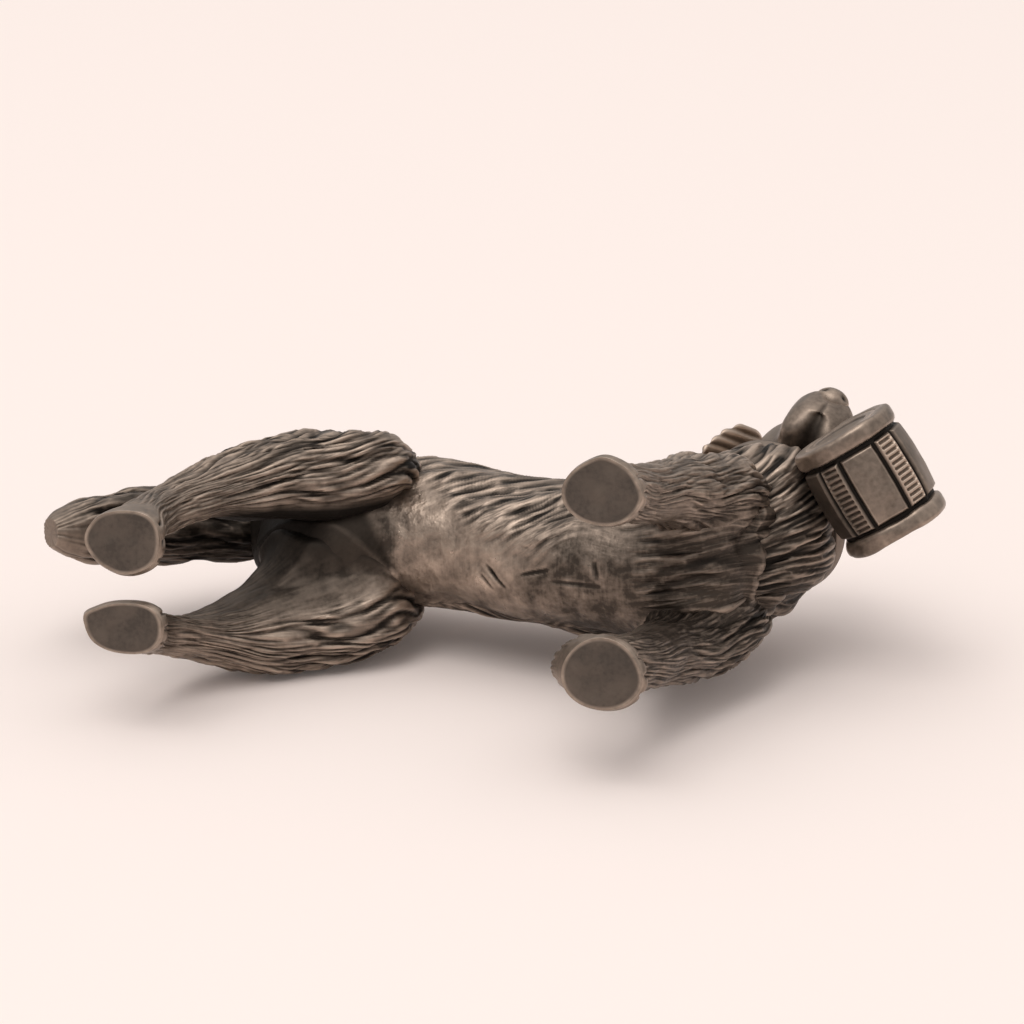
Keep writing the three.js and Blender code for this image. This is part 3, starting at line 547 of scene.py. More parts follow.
class Graph:
    """The nodes of one material or world."""

    def __init__(self, tree: bpy.types.NodeTree) -> None:
        """Takes a tree and empties it."""
        self.tree = tree
        tree.nodes.clear()

    def node(self, kind: str, settings: dict[str, Any] | None = None, **inputs: Any) -> bpy.types.Node:
        """Adds a node.

        Args:
            kind: The node's type.
            settings: Properties that are set first.
            inputs: Values or sockets by input name, with spaces as underscores, or by number as in i6.

        Returns:
            The node.
        """
        made = self.tree.nodes.new(kind)
        for name, value in (settings or {}).items():
            setattr(made, name, value)
        for name, value in inputs.items():
            numbered = name[0] == "i" and name[1:].isdigit()
            slot = made.inputs[int(name[1:])] if numbered else made.inputs[name.replace("_", " ")]
            if isinstance(value, Sock):
                self.tree.links.new(value.socket, slot)
            else:
                slot.default_value = value
        return made

    def out(self, node: bpy.types.Node, name: str | int = 0) -> Sock:
        """An output of a node."""
        return Sock(self.tree, node.outputs[name])

    def attribute(self, name: str) -> Sock:
        """The value of a named attribute."""
        return self.out(self.node("ShaderNodeAttribute", {"attribute_name": name}), "Fac")

    def hair(self, wide: float, long: float) -> Sock:
        """Noise drawn out along the coat, about 0.5.

        Args:
            wide: Width of a lump across the hair, in millimetres.
            long: Length of a lump along the hair, in millimetres.

        Returns:
            The noise's value.
        """
        place = self.out(self.node("ShaderNodeAttribute", {"attribute_name": "hair"}), "Vector")
        factors = (1.0 / wide, 1.0 / wide, 1.0 / long)
        place = self.out(self.node("ShaderNodeVectorMath", {"operation": "MULTIPLY"}, i0=place, i1=factors))
        return self.out(self.node("ShaderNodeTexNoise", None, Vector=place, Scale=1.0, Detail=2.0), 0)

    def noise(self, scale: float, detail: float = 3.0, squeeze: Triple = (1.0, 1.0, 1.0)) -> Sock:
        """Noise on Object coordinates, about 0.5.

        Args:
            scale: Lumps in a metre.
            detail: How many finer noises are added.
            squeeze: Factors of the scale along the three axes.

        Returns:
            The noise's value.
        """
        place = self.out(self.node("ShaderNodeTexCoord"), "Object")
        place = self.out(self.node("ShaderNodeMapping", None, Vector=place, Scale=squeeze))
        return self.out(self.node("ShaderNodeTexNoise", None, Vector=place, Scale=scale, Detail=detail), 0)

    def blend(self, share: Sock | float, first: Any, second: Any) -> Sock:
        """Mix of two colours by a share."""
        mixed = self.node("ShaderNodeMix", {"data_type": "RGBA"}, i0=share, i6=first, i7=second)
        return self.out(mixed, 2)


def rgb(red: float, green: float, blue: float) -> tuple[float, float, float, float]:
    """An opaque colour."""
    return (red, green, blue, 1.0)


@dataclass(frozen=True)
class Pewter:
    """Antiqued pewter: black in the grooves and in painted shade, grey where it is rubbed and in painted light,
    and dull on filed faces.

    Attributes:
        name: Name of the material.
        black: Colour in the grooves and in painted shade.
        dull: Colour of unrubbed metal.
        bright: Colour of rubbed metal and of painted light.
        filed: Colour of filed soles.
        roughness: Roughness of rubbed metal.
    """

    name: str = "antiqued_pewter"
    black: Triple = (0.014, 0.0105, 0.008)
    dull: Triple = (0.06, 0.046, 0.036)
    bright: Triple = (0.52, 0.41, 0.33)
    filed: Triple = (0.086, 0.07, 0.059)
    roughness: float = 0.42

    def material(self) -> bpy.types.Material:
        """Builds the material from the notes, the noises and the strands drawn out along the coat."""
        made = bpy.data.materials.new(self.name)
        made.use_nodes = True
        g = Graph(made.node_tree)
        groove, wear_and_light, sole, coat = (g.attribute(n) for n in ("groove", "wear_and_light", "sole", "coat"))
        strand = g.hair(0.75, 4.0)
        nicks = ((0.465 - strand) * 10.0).clip() * coat
        streak = (g.hair(0.28, 2.4) - 0.5) * coat
        fine = g.noise(2600.0, 4.0)
        coarse = g.noise(420.0)
        bare = g.attribute("bare")
        brushed = (g.noise(1000.0, 3.0, (6.0, 0.5, 0.5)) - 0.5) * bare
        blotch = (g.noise(620.0, 7.0) - 0.5) * bare
        # Blends dull to bright by the wear note: rubbed metal, with painted light and painted shade from the
        # spots.
        rubbed = (wear_and_light + (fine - 0.5) * 0.5 + (coarse - 0.5) * 0.3 + brushed * 0.25 + streak * 1.1
                  + blotch * 1.4).clip()
        colour = g.blend(rubbed, rgb(*self.dull), rgb(*self.bright))
        # Black by the groove note: patina in the carving, and painted shade where the pieces note it.
        colour = g.blend((groove * 1.5 - 0.12 + nicks * 0.65).clip(), colour, rgb(*self.black))
        filed = (0.85 + (coarse - 0.5) * 0.9 + (fine - 0.5) * 0.5).clip()
        colour = g.blend(sole * filed, colour, rgb(*self.filed))
        rough = (self.roughness + groove * 0.25 + (fine - 0.5) * 0.3 + brushed * 0.2 - blotch * 0.7
                 + sole * 0.12).clip()
        lock = (strand * coat + streak * 0.3).math("MINIMUM", 0.55)
        height = fine * 0.03 + coarse * 0.015 + blotch * 0.5 + lock
        bump = g.node("ShaderNodeBump", None, Strength=0.85, Distance=0.0006, Height=height)
        shader = g.node("ShaderNodeBsdfPrincipled", None, Base_Color=colour, Roughness=rough, Metallic=0.8)
        g.tree.links.new(bump.outputs[0], shader.inputs["Normal"])
        g.node("ShaderNodeOutputMaterial", None, Surface=g.out(shader))
        return made


class Slot(Enum):
    """The record's material slots."""

    DARK = "antiqued_pewter"
    WORN = "worn_pewter"


class Workshop:
    """Turns skins into the scene's pieces, in the row frame."""

    def __init__(self, shift: Array, wear_and_light: WearAndLight) -> None:
        """Takes the row frame's shift from the animal's frame, and the wear with its painted light and shade."""
        self.shift, self.wear_and_light = shift, wear_and_light
        self.finishes = {
            Slot.DARK: Pewter().material(),
            Slot.WORN: Pewter("worn_pewter", roughness=0.36).material(),
        }
        self.lowest: list[Array] = []

    def piece(self, name: str, skin: Skin, slot: Slot, node: str = "", ring: bool = False) -> bpy.types.Object:
        """Makes a mesh object of a skin: quads between the rows, and a fan to the middle of each end row.

        Args:
            name: Name of the piece.
            skin: Its grid.
            slot: The record's material slot.
            node: The solid it stands for, if any.
            ring: Whether the last row joins the first instead of being closed by a fan.

        Returns:
            The object.
        """
        rows, columns = skin.points.shape[:2]
        count = rows * columns

        def closed(values: Array) -> Array:
            """The points' values, then the means of both end rows for the middles of the fans."""
            flat = values.reshape(count, *values.shape[2:])
            return flat if ring else np.concatenate([flat, np.stack([values[k].mean(axis=0) for k in (0, -1)])])

        # Wear from the spots, with their painted light and painted shade, brighter on ridges and duller in
        # hollows.
        skin.note("wear_and_light", self.wear_and_light.at(skin.points) + 6.0 * np.clip(skin.ridge(), -0.07, 0.07))
        grid = np.arange(count).reshape(rows, columns)
        low = grid if ring else grid[:-1]
        high = np.roll(grid, -1, axis=0) if ring else grid[1:]
        quads = np.stack([low, np.roll(low, -1, 1), np.roll(high, -1, 1), high], axis=-1).reshape(-1, 4)
        points = closed(skin.points)
        fans = np.zeros((0, 3), int)
        if not ring:
            start = np.stack([np.full(columns, count), np.roll(grid[0], -1), grid[0]], axis=-1)
            finish = np.stack([np.full(columns, count + 1), grid[-1], np.roll(grid[-1], -1)], axis=-1)
            fans = np.concatenate([start, finish])
        if self.inward(points, quads, fans):
            quads, fans = quads[:, ::-1], fans[:, ::-1]
        mesh = bpy.data.meshes.new(name)
        mesh.vertices.add(len(points))
        mesh.vertices.foreach_set("co", ((points + self.shift) * MM).astype(np.float32).ravel())
        mesh.loops.add(quads.size + fans.size)
        mesh.loops.foreach_set("vertex_index", np.concatenate([quads.ravel(), fans.ravel()]).astype(np.int32))
        mesh.polygons.add(len(quads) + len(fans))
        begins = np.concatenate([np.arange(len(quads)) * 4, quads.size + np.arange(len(fans)) * 3])
        mesh.polygons.foreach_set("loop_start", begins.astype(np.int32))
        mesh.update(calc_edges=True)
        mesh.validate()
        mesh.shade_smooth()
        for note in ("groove", "wear_and_light", "sole", "bare", "coat"):
            values = closed(skin.notes.get(note, np.zeros((rows, columns))))
            store = mesh.attributes.new(note, "FLOAT", "POINT")
            store.data.foreach_set("value", values.astype(np.float32))
        if skin.hair is not None:
            store = mesh.attributes.new("hair", "FLOAT_VECTOR", "POINT")
            store.data.foreach_set("vector", closed(skin.hair).astype(np.float32).ravel())
        mesh.materials.append(self.finishes[slot])
        made = bpy.data.objects.new(name, mesh)
        bpy.context.scene.collection.objects.link(made)
        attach(made, "root")
        if node:
            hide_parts(node)
        self.lowest.append(points)
        LOG.info("%s: %d faces", name, len(quads) + len(fans))
        return made

    @staticmethod
    def inward(points: Array, quads: Array, fans: Array) -> bool:
        """Whether the faces enclose a negative volume, summed over triangles from the origin."""
        tris = np.concatenate([quads[:, [0, 1, 2]], quads[:, [0, 2, 3]], fans])
        a, b, c = (points[tris[:, k]] for k in range(3))
        return float(np.sum(a * np.cross(b, c))) < 0.0


@dataclass(frozen=True)
class Weld:
    """A fillet between the trunk and a limb, raised half out of each.

    Attributes:
        trunk: The trunk.
        limb: The limb.
        width: Width of the fillet, from places and their directions from the limb's middle line.
    """

    trunk: Loft
    limb: Loft
    width: Callable[[Array, Array], Array]

    def on_trunk(self, points: Array) -> tuple[Array, Array]:
        """Heights of the fillet on the trunk, and how much of it is fillet."""
        return self.raised(points, self.limb.gap(points)[0])

    def on_limb(self, points: Array) -> tuple[Array, Array]:
        """Heights of the fillet on the limb, and how much of it is fillet."""
        return self.raised(points, self.trunk.gap(points)[0])

    def raised(self, points: Array, gap: Array) -> tuple[Array, Array]:
        """How far a wall is raised towards the other one, and how much of that is fillet.

        At a distance d from the other wall a fillet of width w rises by (sqrt(w) - sqrt(d))^2, up to a little
        over a quarter of the width, where both halves meet; deep inside the other wall it fades out.

        Args:
            points: Places on the wall.
            gap: Their distances from the other wall.

        Returns:
            Heights, and shares from 0 to 1.
        """
        width = np.maximum(self.width(points, self.limb.gap(points)[1]), 1e-3)
        top = 0.27 * width
        rise = np.minimum((np.sqrt(width) - np.sqrt(np.clip(gap, 0.0, width))) ** 2, top)
        return rise * (1.0 - ease(1.0, 3.0, -gap)), rise / top * ease(0.3, 1.5, width)


@dataclass
class Trunk:
    """The trunk from rump to chest, with the flanks carved and the belly left smooth.

    Attributes:
        sections: Place along X, width, height of the back, height of the underside and sway of each section.
        squareness: Power of the superellipse.
        mean_radius: Radius that turns an angle round the trunk into a distance.
        slope: Slope of the flank's flutes.
        stroke_slope: Slope of the strokes carved over them.
        flute_pitch: Distance between the flank's broad flutes.
        flute_depth: Half of their depth.
        parting: Angle from the lowest line to the left at which the strokes of both sides meet.
        chisel: Short deep strokes of the flanks.
        broad: Long strokes of the chest.
        fine: Fine strokes over both.
        nicks: Both ends of each tool cut in the belly.
        nick_width: Width of the cuts.
        nick_depth: Depth of the cuts.
    """

    sections: tuple[tuple[float, float, float, float, float], ...] = (
        (-23.0, 3.0, 31.6, 28.6, 0.0),
        (-21.2, 9.4, 34.6, 25.6, 0.0),
        (-15.0, 10.8, 35.8, 20.6, 0.0),
        (-7.0, 11.0, 35.2, 20.6, 0.0),
        (1.0, 10.6, 35.0, 19.0, 0.9),
        (8.0, 11.8, 36.0, 17.6, 1.2),
        (14.0, 12.8, 37.2, 17.0, 0.8),
        (18.8, 11.0, 34.5, 19.4, 0.0),
        (22.0, 4.0, 28.95, 24.95, 0.0),
    )
    squareness: float = 2.2
    mean_radius: float = 7.4
    slope: float = 0.62
    stroke_slope: float = 0.8
    flute_pitch: float = 4.7
    flute_depth: float = 0.25
    parting: float = 1.0
    chisel: Strokes = Strokes(1.8, 3.4, 0.3, ink=0.75, fill=0.85, sway=0.15, seed=7)
    broad: Strokes = Strokes(2.1, 7.0, 0.24, ink=0.4, width=0.65, fill=0.8, seed=3)
    fine: Strokes = Strokes(1.2, 4.5, 0.1, ink=0.3, width=0.8, fill=0.8, sway=0.2, seed=5)
    nicks: tuple[tuple[Triple, Triple], ...] = (
        ((-4.4, -0.6, 19.8), (-4.0, 0.5, 19.8)),
        ((-5.6, -0.2, 20.0), (-5.2, 0.6, 20.0)),
        ((-2.2, 0.6, 19.3), (-0.2, 3.0, 19.5)),
        ((-1.4, 0.2, 19.2), (0.9, 2.8, 19.3)),
        ((7.2, 2.4, 17.7), (7.4, 3.6, 18.0)),
        ((4.0, 2.0, 18.2), (9.0, 2.2, 17.5)),
        ((1.4, -0.8, 18.9), (3.1, -0.3, 18.6)),
        ((2.4, 1.7, 18.6), (4.6, 1.2, 18.3)),
        ((5.4, 3.4, 18.3), (5.9, 4.6, 18.9)),
        ((8.6, 0.4, 17.6), (8.8, 1.6, 17.6)),
    )
    nick_width: float = 0.42
    nick_depth: float = 0.25

    def loft(self) -> Loft:
        """The trunk's sections as a loft."""
        stations = [
            Station((x, sway, (back + under) / 2.0), width / 2.0, (back - under) / 2.0)
            for x, width, back, under, sway in self.sections
        ]
        return Loft(stations, Y_AXIS, Z_AXIS, self.squareness)

    def flutes(self, share: Array, angle: Array) -> Array:
        """Broad slanted flutes on the flanks, like the solid's.

        The depth times the cosine of a turn for each pitch across the hair, faded on the belly and at both ends.

        Args:
            share: Share of the trunk's length.
            angle: Angle round the trunk.

        Returns:
            What the flutes add to the half sizes.
        """
        away = np.abs(wrapped(angle - math.pi / 2.0))
        x = self.sections[0][0] * (1.0 - share) + self.sections[-1][0] * share
        across = 0.85 * self.mean_radius * away + self.slope * x
        place = ease(0.6, 1.2, math.pi - away) * ease(0.0, 0.08, share) * (1.0 - ease(0.88, 0.96, share))
        return self.flute_depth * place * np.cos(TURN * across / self.flute_pitch)

    def smooth(self, x: Array, side: Array) -> Array:
        """Where the underside is left smooth: from an edge on the right to an edge on the left of the belly.

        Args:
            x: Places along the trunk.
            side: Angle from the lowest line, positive to the left.

        Returns:
            1 where the belly is smooth, 0 where it is carved.
        """
        edge = np.interp(x, (-10.0, -6.5, -2.0, 4.0, 7.0, 11.0), (-1.3, -1.0, -0.25, -0.15, -0.6, -0.5))
        low = ease(-0.3, 0.2, side - edge) * (1.0 - ease(0.85, 1.15, side))
        return low * (1.0 - 0.12 * ease(1.0, 5.0, x)) * (1.0 - ease(10.5, 14.5, x))

    def build(self, shop: Workshop, welds: Sequence[Weld]) -> None:
        """Raises the fillets, carves the flanks slantwise and cuts the nicks in the belly.

        Args:
            shop: Makes the piece.
            welds: Fillets of the limbs, the neck and the tail.
        """
        skin = self.loft().skin(302, 324, self.flutes)
        ragged = 1.3 + 1.1 * mottle(skin.points * np.array((0.0, 1.0, 1.0)), 1.7, 9)
        skin.points[..., 0] -= ragged * ease(17.5, 22.0, skin.points[..., 0])
        x = skin.points[..., 0]
        side = wrapped(skin.angle + math.pi / 2.0) + 0.0 * x
        down = np.where(side < self.parting, side, -side) * skin.girth() + math.pi * self.mean_radius
        belly = self.smooth(x, side)
        rises = [weld.on_trunk(skin.points) for weld in welds]
        skin.push(np.max([rise for rise, _ in rises], axis=0))
        fillet = ease(0.1, 0.5, np.max([share for _, share in rises[:2]], axis=0))
        bare = np.maximum(belly, fillet)
        skin.push(0.16 * mottle(skin.points, 4.0, 3) + 0.07 * mottle(skin.points, 1.3, 4))
        lean = self.stroke_slope * (x - ease(3.0, 11.0, x) * (x - 6.0))
        across = down * 0.85 + lean + np.where(side < self.parting, 0.0, 500.0)
        rough = 0.6 + 0.4 * ease(-0.5, 0.3, mottle(skin.points, 5.0, 8))
        rough = rough * (1.0 + 0.5 * ease(11.0, 14.0, x))
        chest = ease(7.0, 12.0, x)
        self.chisel.cut(skin, -x, across, (1.0 - bare) * (1.0 - chest))
        self.broad.cut(skin, -x, across, (1.0 - bare) * rough * chest)
        self.fine.cut(skin, -x, across, (1.0 - 0.95 * bare) * rough)
        skin.hair = np.stack([down * 0.85 + lean, 0.0 * x, -x - 0.9 * np.minimum(x, 9.0)], axis=-1)
        # Patina with painted shade in the crotch below the tail root and on the hind legs' fillets, and painted
        # shadow on the rear underside under the right thigh.
        away = (skin.points - np.array((-18.5, -0.8, 23.0))) / np.array((5.0, 3.6, 4.5))
        hollow = np.exp(-np.sum(away**2, axis=-1))
        shadow_below_thigh = (1.0 - ease(-13.5, -7.5, x)) * ease(-1.5, -0.9, side) * (1.0 - ease(1.2, 1.8, side))
        skin.note("groove", 0.9 * hollow + 0.58 * np.maximum(fillet, shadow_below_thigh))
        for ends in self.nicks:
            skin.sink(self.nick_depth, nick(skin.points, *ends, self.nick_width))
        skin.note("bare", belly * (1.0 - fillet))
        shop.piece("torso_coat", skin, Slot.DARK, "torso")


@dataclass
class Leg:
    """What the legs share: a filed sole with a paler rim, toes and hair along the limb.

    Attributes:
        side: -1 on the animal's right, 1 on its left.
        node: The solid it stands for.
        paw_y: Place of the paw across the animal.
        paw_size: Length and width of the paw.
        corners: Angle and height of the bumps in the sole's outline.
        lanes: Lanes of hair round the limb.
        hair_end: Share of the run that the flutes reach.
        rows: Rows along the limb.
        columns: Columns round it.
        sole_rings: Rings that close the sole.
        paw_top: Height of the paw's top.
        paw_widest: Height at which the paw is widest.
        bevel: How much smaller the sole is than the paw.
        cleft: Depth of the clefts between the toes.
        squareness: Power of the superellipse.
        shade: How much painted shade and patina darken the inner side above the hock.
        fillet_shade: How much painted shade and patina darken the fillet with the trunk.
        ink: How dark the grooves of its hair are.
    """

    side: float
    node: str
    paw_y: float
    paw_size: tuple[float, float] = (6.2, 5.0)
    corners: tuple[tuple[float, float], ...] = ()
    lanes: int = 30
    hair_end: float = 0.55
    rows: int = 270
    columns: int = 230
    sole_rings: int = 16
    paw_top: float = 3.6
    paw_widest: float = 1.0
    bevel: float = 0.12
    cleft: float = 0.36
    squareness: float = 2.0
    shade: float = 0.15
    fillet_shade: float = 0.0
    ink: float = 0.7

    def stations(self) -> list[Station]:
        """The limb's sections from the trunk down."""
        raise NotImplementedError

    def loft(self) -> Loft:
        """The limb's sections as a loft."""
        return Loft(self.stations(), X_AXIS, Y_AXIS, self.squareness)

    def paw(self, x: float) -> list[Station]:
        """The paw's widest section and its sole."""
        length, width = self.paw_size
        sole = Station((x, self.paw_y, 0.0), length / 2 - self.bevel, width / 2 - self.bevel)
        return [Station((x, self.paw_y, self.paw_widest), length / 2, width / 2), sole]

    def fillet(self, points: Array, away: Array) -> Array:
        """Width of the fillet with the trunk."""
        raise NotImplementedError

    def weld(self, trunk: Loft) -> Weld:
        """The limb's fillet with the trunk."""
        return Weld(trunk, self.loft(), self.fillet)

    def shape(self, skin: Skin) -> None:
        """What else the limb's form needs before it is carved."""

    def bare_inside(self, z: Array) -> Array:
        """How smooth the inner side is at a height."""
        return ease(9.0, 15.0, z)

    def toes(self, share: Array, angle: Array, start: float) -> Array:
        """Three clefts across the front of the paw, with the toes raised between them.

        A power of a cosine ripple where it is positive, a share of it where it is negative, times an arch over
        the paw's height.

        Args:
            share: Share of the limb's run.
            angle: Angle round the limb, 0 at the front.
            start: Share at which the paw starts.

        Returns:
            What the toes add to the sections.
        """
        height = np.clip((share - start) / (0.95 - start), 0.0, 1.0)
        ripple = np.cos(angle * TURN / (math.pi / 6.0))
        ripple = np.clip(ripple, 0.0, 1.0) ** 3 - 0.1 * np.clip(-ripple, 0.0, 1.0)
        return -self.cleft * ripple * np.sin(np.pi * height) ** 0.7 * ease(0.66, 0.76, np.cos(angle))

    def outline(self, share: Array, angle: Array, start: float) -> Array:
        """What the paw's outline adds: a bell curve of the angle for each corner, faded in down the paw."""
        bumps = sum(amount * hump(0.0, 0.3, wrapped(angle - at)) for at, amount in self.corners)
        return ease(start, 0.92, share) * (bumps + 0.06 * np.sin(3.0 * angle + self.paw_y))

    def build(self, shop: Workshop, trunk: Loft) -> None:
        """Lofts the limb, carves its hair and files its sole.

        Args:
            shop: Makes the piece.
            trunk: What the limb is welded to.
        """
        loft = self.loft()
        start = 1.0 - 2.0 / (len(loft.stations) - 1)
        flutes = locks(6, self.hair_end)
        relief = lambda share, angle: (
            flutes(share, angle) + self.toes(share, angle, start) + self.outline(share, angle, start))
        skin = loft.skin(self.rows, self.columns, relief)
        self.shape(skin)
        rise, fillet = self.weld(trunk).on_limb(skin.points)
        skin.push(rise)
        z = skin.points[..., 2]
        coat = ease(1.6, 4.2, z)
        inner = np.clip(-self.side * np.sin(skin.angle), 0.0, 1.0)
        coat = coat * (1.0 - 0.9 * ease(0.15, 0.6, inner) * self.bare_inside(z)) * (1.0 - 0.8 * fillet)
        skin.push(ease(0.8, 3.0, z) * (0.2 * mottle(skin.points, 3.2, 13) + 0.08 * mottle(skin.points, 1.1, 14)))
        size = np.clip(skin.girth() / 4.2, 0.35, 1.0)
        broad = Strokes(1.8, 12.0, 0.55, ink=self.ink, width=0.65, sway=0.5, lanes=self.lanes // 2, seed=21)
        fine = Strokes(0.9, 6.0, 0.26, ink=self.ink + 0.1, width=0.55, fill=0.85, lanes=self.lanes, seed=25)
        broad.round(skin, coat * size, 0.03 * self.side)
        fine.round(skin, coat * size, 0.06 * self.side)
        # Patina with painted shade on the inner side above the hock and on the fillet with the trunk.
        skin.note("groove", self.shade * ease(0.2, 0.9, inner) * ease(8.0, 15.0, z) + self.fillet_shade * fillet)
        clefts = -self.toes(skin.share, skin.angle, start) / self.cleft
        skin.note("groove", 0.8 * ease(0.3, 0.9, clefts))
        rim = hump(0.1, 0.3, z) * (skin.share > start) * (0.75 + 0.25 * mottle(skin.points, 0.9, 15))
        skin.notes["wear_and_light"] = np.clip(rim * 0.85, 0.0, 1.0)
        skin.cap(self.sole_rings)
        disc = np.zeros(skin.points.shape[:2])
        disc[self.rows + 2 :] = 1.0
        skin.points[..., 2] += disc * 0.04 * mottle(skin.points, 0.9, 17)
        skin.note("sole", disc)
        skin.notes["groove"] = skin.notes["groove"] * (1.0 - disc)
        skin.notes["wear_and_light"] = skin.notes["wear_and_light"] * (1.0 - disc)
        shop.piece(self.node + "_coat", skin, Slot.DARK, self.node)


@dataclass
class FrontLeg(Leg):
    """A front leg from the shoulder to the paw.

    Attributes:
        elbow_y: Place of the elbow across the animal.
        heel_tuft: How far the hair stands out behind the paw.
        elbow_z: Height of the elbow.
        wrist_z: Height of the wrist.
        forearm_z: Height of the section between.
    """

    elbow_y: float = 0.0
    heel_tuft: float = 0.0
    elbow_z: float = 17.5
    wrist_z: float = 6.8
    forearm_z: float = 12.0

    def stations(self) -> list[Station]:
        """Shoulder, upper arm, elbow, forearm, wrist and paw."""
        shoulder_y = self.side * 3.4
        slant = lambda z: self.paw_y + (self.elbow_y - self.paw_y) * z / self.elbow_z
        return [
            Station((15.0, shoulder_y, 31.0), 2.6, 1.2),
            Station((16.2, (self.side * 4.4 + self.elbow_y) / 2, 23.5), 4.2, 2.8),
            Station((15.4, self.elbow_y, self.elbow_z), 3.3, 2.5),
            Station((14.9, slant(self.forearm_z), self.forearm_z), 2.5, 2.2),
            Station((14.4, slant(self.wrist_z), self.wrist_z), 2.1, 2.1),
            Station((14.4 - self.heel_tuft, self.paw_y, self.paw_top), (4.2 + self.heel_tuft) / 2, 2.1),
            *self.paw(14.5),
        ]

    def bare_inside(self, z: Array) -> Array:
        """Smooth below the elbow only."""
        return hump(11.5, 3.0, z)

    def fillet(self, points: Array, away: Array) -> Array:
        """Even on the underside, none up the sides."""
        return 2.4 * (1.0 - ease(20.0, 24.0, points[..., 2]))


@dataclass
class HindLeg(Leg):
    """A hind leg from the hip to the paw, with the places of its joints across the animal.

    Attributes:
        lip: How far the front edge of the thigh stands out.
        crotch: How far the inner side swells at the thigh.
        saddle: Extra width of the fillet on the inner side.
    """

    stifle_y: float = 0.0
    gaskin_y: float = 0.0
    hock_y: float = 0.0
    shank_y: float = 0.0
    pastern_y: float = 0.0
    lip: float = 0.0
    crotch: float = 0.0
    saddle: float = 1.0

    def stations(self) -> list[Station]:
        """Hip, thigh, stifle, gaskin, hock, shank and paw."""
        hip_y = self.side * 4.0
        return [
            Station((-15.0, hip_y, 31.5), 4.0, 1.3),
            Station((-14.2, (hip_y + self.stifle_y) / 2, 26.5), 5.7, 2.5),
            Station((-13.6, self.stifle_y, 21.0), 5.7, 2.9),
            Station((-17.4, self.gaskin_y, 16.0), 4.3, 2.8),
            Station((-20.8, self.hock_y, 11.5), 2.7, 1.65),
            Station((-22.2, self.shank_y, 7.0), 1.6, 1.6),
            Station((-22.2, self.pastern_y, self.paw_top), 1.7, 1.7),
            *self.paw(-22.3),
        ]

    def shape(self, skin: Skin) -> None:
        """Thickens the front edge of the thigh into a rounded lip."""
        front = np.clip(np.cos(skin.angle), 0.0, 1.0) * ease(17.0, 20.0, skin.points[..., 2])
        front = front * ease(0.0, 0.5, self.side * np.sin(skin.angle))
        outside = np.array((0.0, self.side * 0.8, -0.2))
        skin.points = skin.points + (self.lip * front)[..., None] * outside

    def loft(self) -> Loft:
        """The limb's sections as a loft, with the inner half sizes swollen by a bell curve of the share."""
        loft = super().loft()
        more = self.crotch * hump(0.27, 0.09, np.linspace(0.0, 1.0, len(loft.stations)))
        inner, outer = ("below", "above") if self.side > 0 else ("above", "below")
        loft.stations = [replace(s, **{outer: s.above, inner: s.above + m}) for s, m in zip(loft.stations, more)]
        return loft

    def fillet(self, points: Array, away: Array) -> Array:
        """Wide on the inner side, tight behind, and none at the front of the thigh."""
        inner = np.clip(-self.side * away[..., 1], 0.0, 1.0)
        front = np.clip(away[..., 0], 0.0, 1.0)
        level = 1.0 - ease(24.0, 29.0, points[..., 2])
        return (0.8 + self.saddle * ease(0.0, 0.7, inner)) * (1.0 - ease(0.1, 0.95, front)) * level


@dataclass
class Tail:
    """The hanging tail with its blunt tip, through places along X and Z, with a swing across."""

    root: tuple[float, float] = (-20.0, 32.0)
    middle: tuple[float, float] = (-27.4, 25.0)
    tip: tuple[float, float] = (-34.0, 13.5)
    swing: float = -0.7
    root_girth: float = 5.2
    width: float = 4.9
    depth: float = 5.0
    tip_rings: int = 8
    broad: Strokes = Strokes(1.9, 14.0, 0.5, ink=0.7, fill=0.85, sway=0.4, lanes=8, seed=33)
    fine: Strokes = Strokes(0.95, 6.0, 0.26, fill=0.8, sway=0.25, lanes=16, seed=35)

    def loft(self) -> Loft:
        """The tail's sections: an even girth times the root of 1.2 - share^8, which leaves the tip blunt."""
        table = np.linspace(0.0, 1.0, 40)
        spine = self.spine(table)
        half = (self.root_girth + (self.width - self.root_girth) * table) / 2.0 * np.sqrt(1.2 - table**8)
        stations = [Station(tuple(p), h, h * self.depth / self.width) for p, h in zip(spine, half)]
        up = unit(np.cross(Y_AXIS, spine[-1] - spine[0]))
        return Loft(stations, Y_AXIS, up, 2.3)

    def weld(self, trunk: Loft) -> Weld:
        """The tail's fillet with the trunk."""
        return Weld(trunk, self.loft(), lambda points, away: np.full(points.shape[:-1], 1.6))

    def build(self, shop: Workshop) -> None:
        """Lofts the tail and carves its long hair."""
        skin = self.loft().skin(240, 150, locks(5, 0.88))
        skin.push(0.2 * mottle(skin.points, 3.0, 31) + 0.08 * mottle(skin.points, 1.0, 32))
        end = 1.0 - ease(0.84, 0.97, skin.share)
        self.broad.round(skin, end, 0.02)
        self.fine.round(skin, 0.3 + 0.7 * end, 0.04)
        # Painted shade along the middle of the tail, and a little darker towards the tip.
        skin.note("groove", 0.45 * hump(0.45, 0.3, skin.share) + 0.14 * ease(0.8, 0.9, skin.share))
        skin.notes["coat"] = skin.notes["coat"] * end
        skin.cap(self.tip_rings)
        skin.notes["groove"][-self.tip_rings :] = 0.16
        shop.piece("tail_coat", skin, Slot.DARK, "tail")

    def spine(self, shares: Array) -> Array:
        """The smooth curve through root, middle and tip."""
        ends = [np.array((p[0], y, p[1])) for p, y in
                ((self.root, 0.0), (self.middle, self.swing / 2.0), (self.tip, self.swing))]
        return through(np.stack(ends), shares)


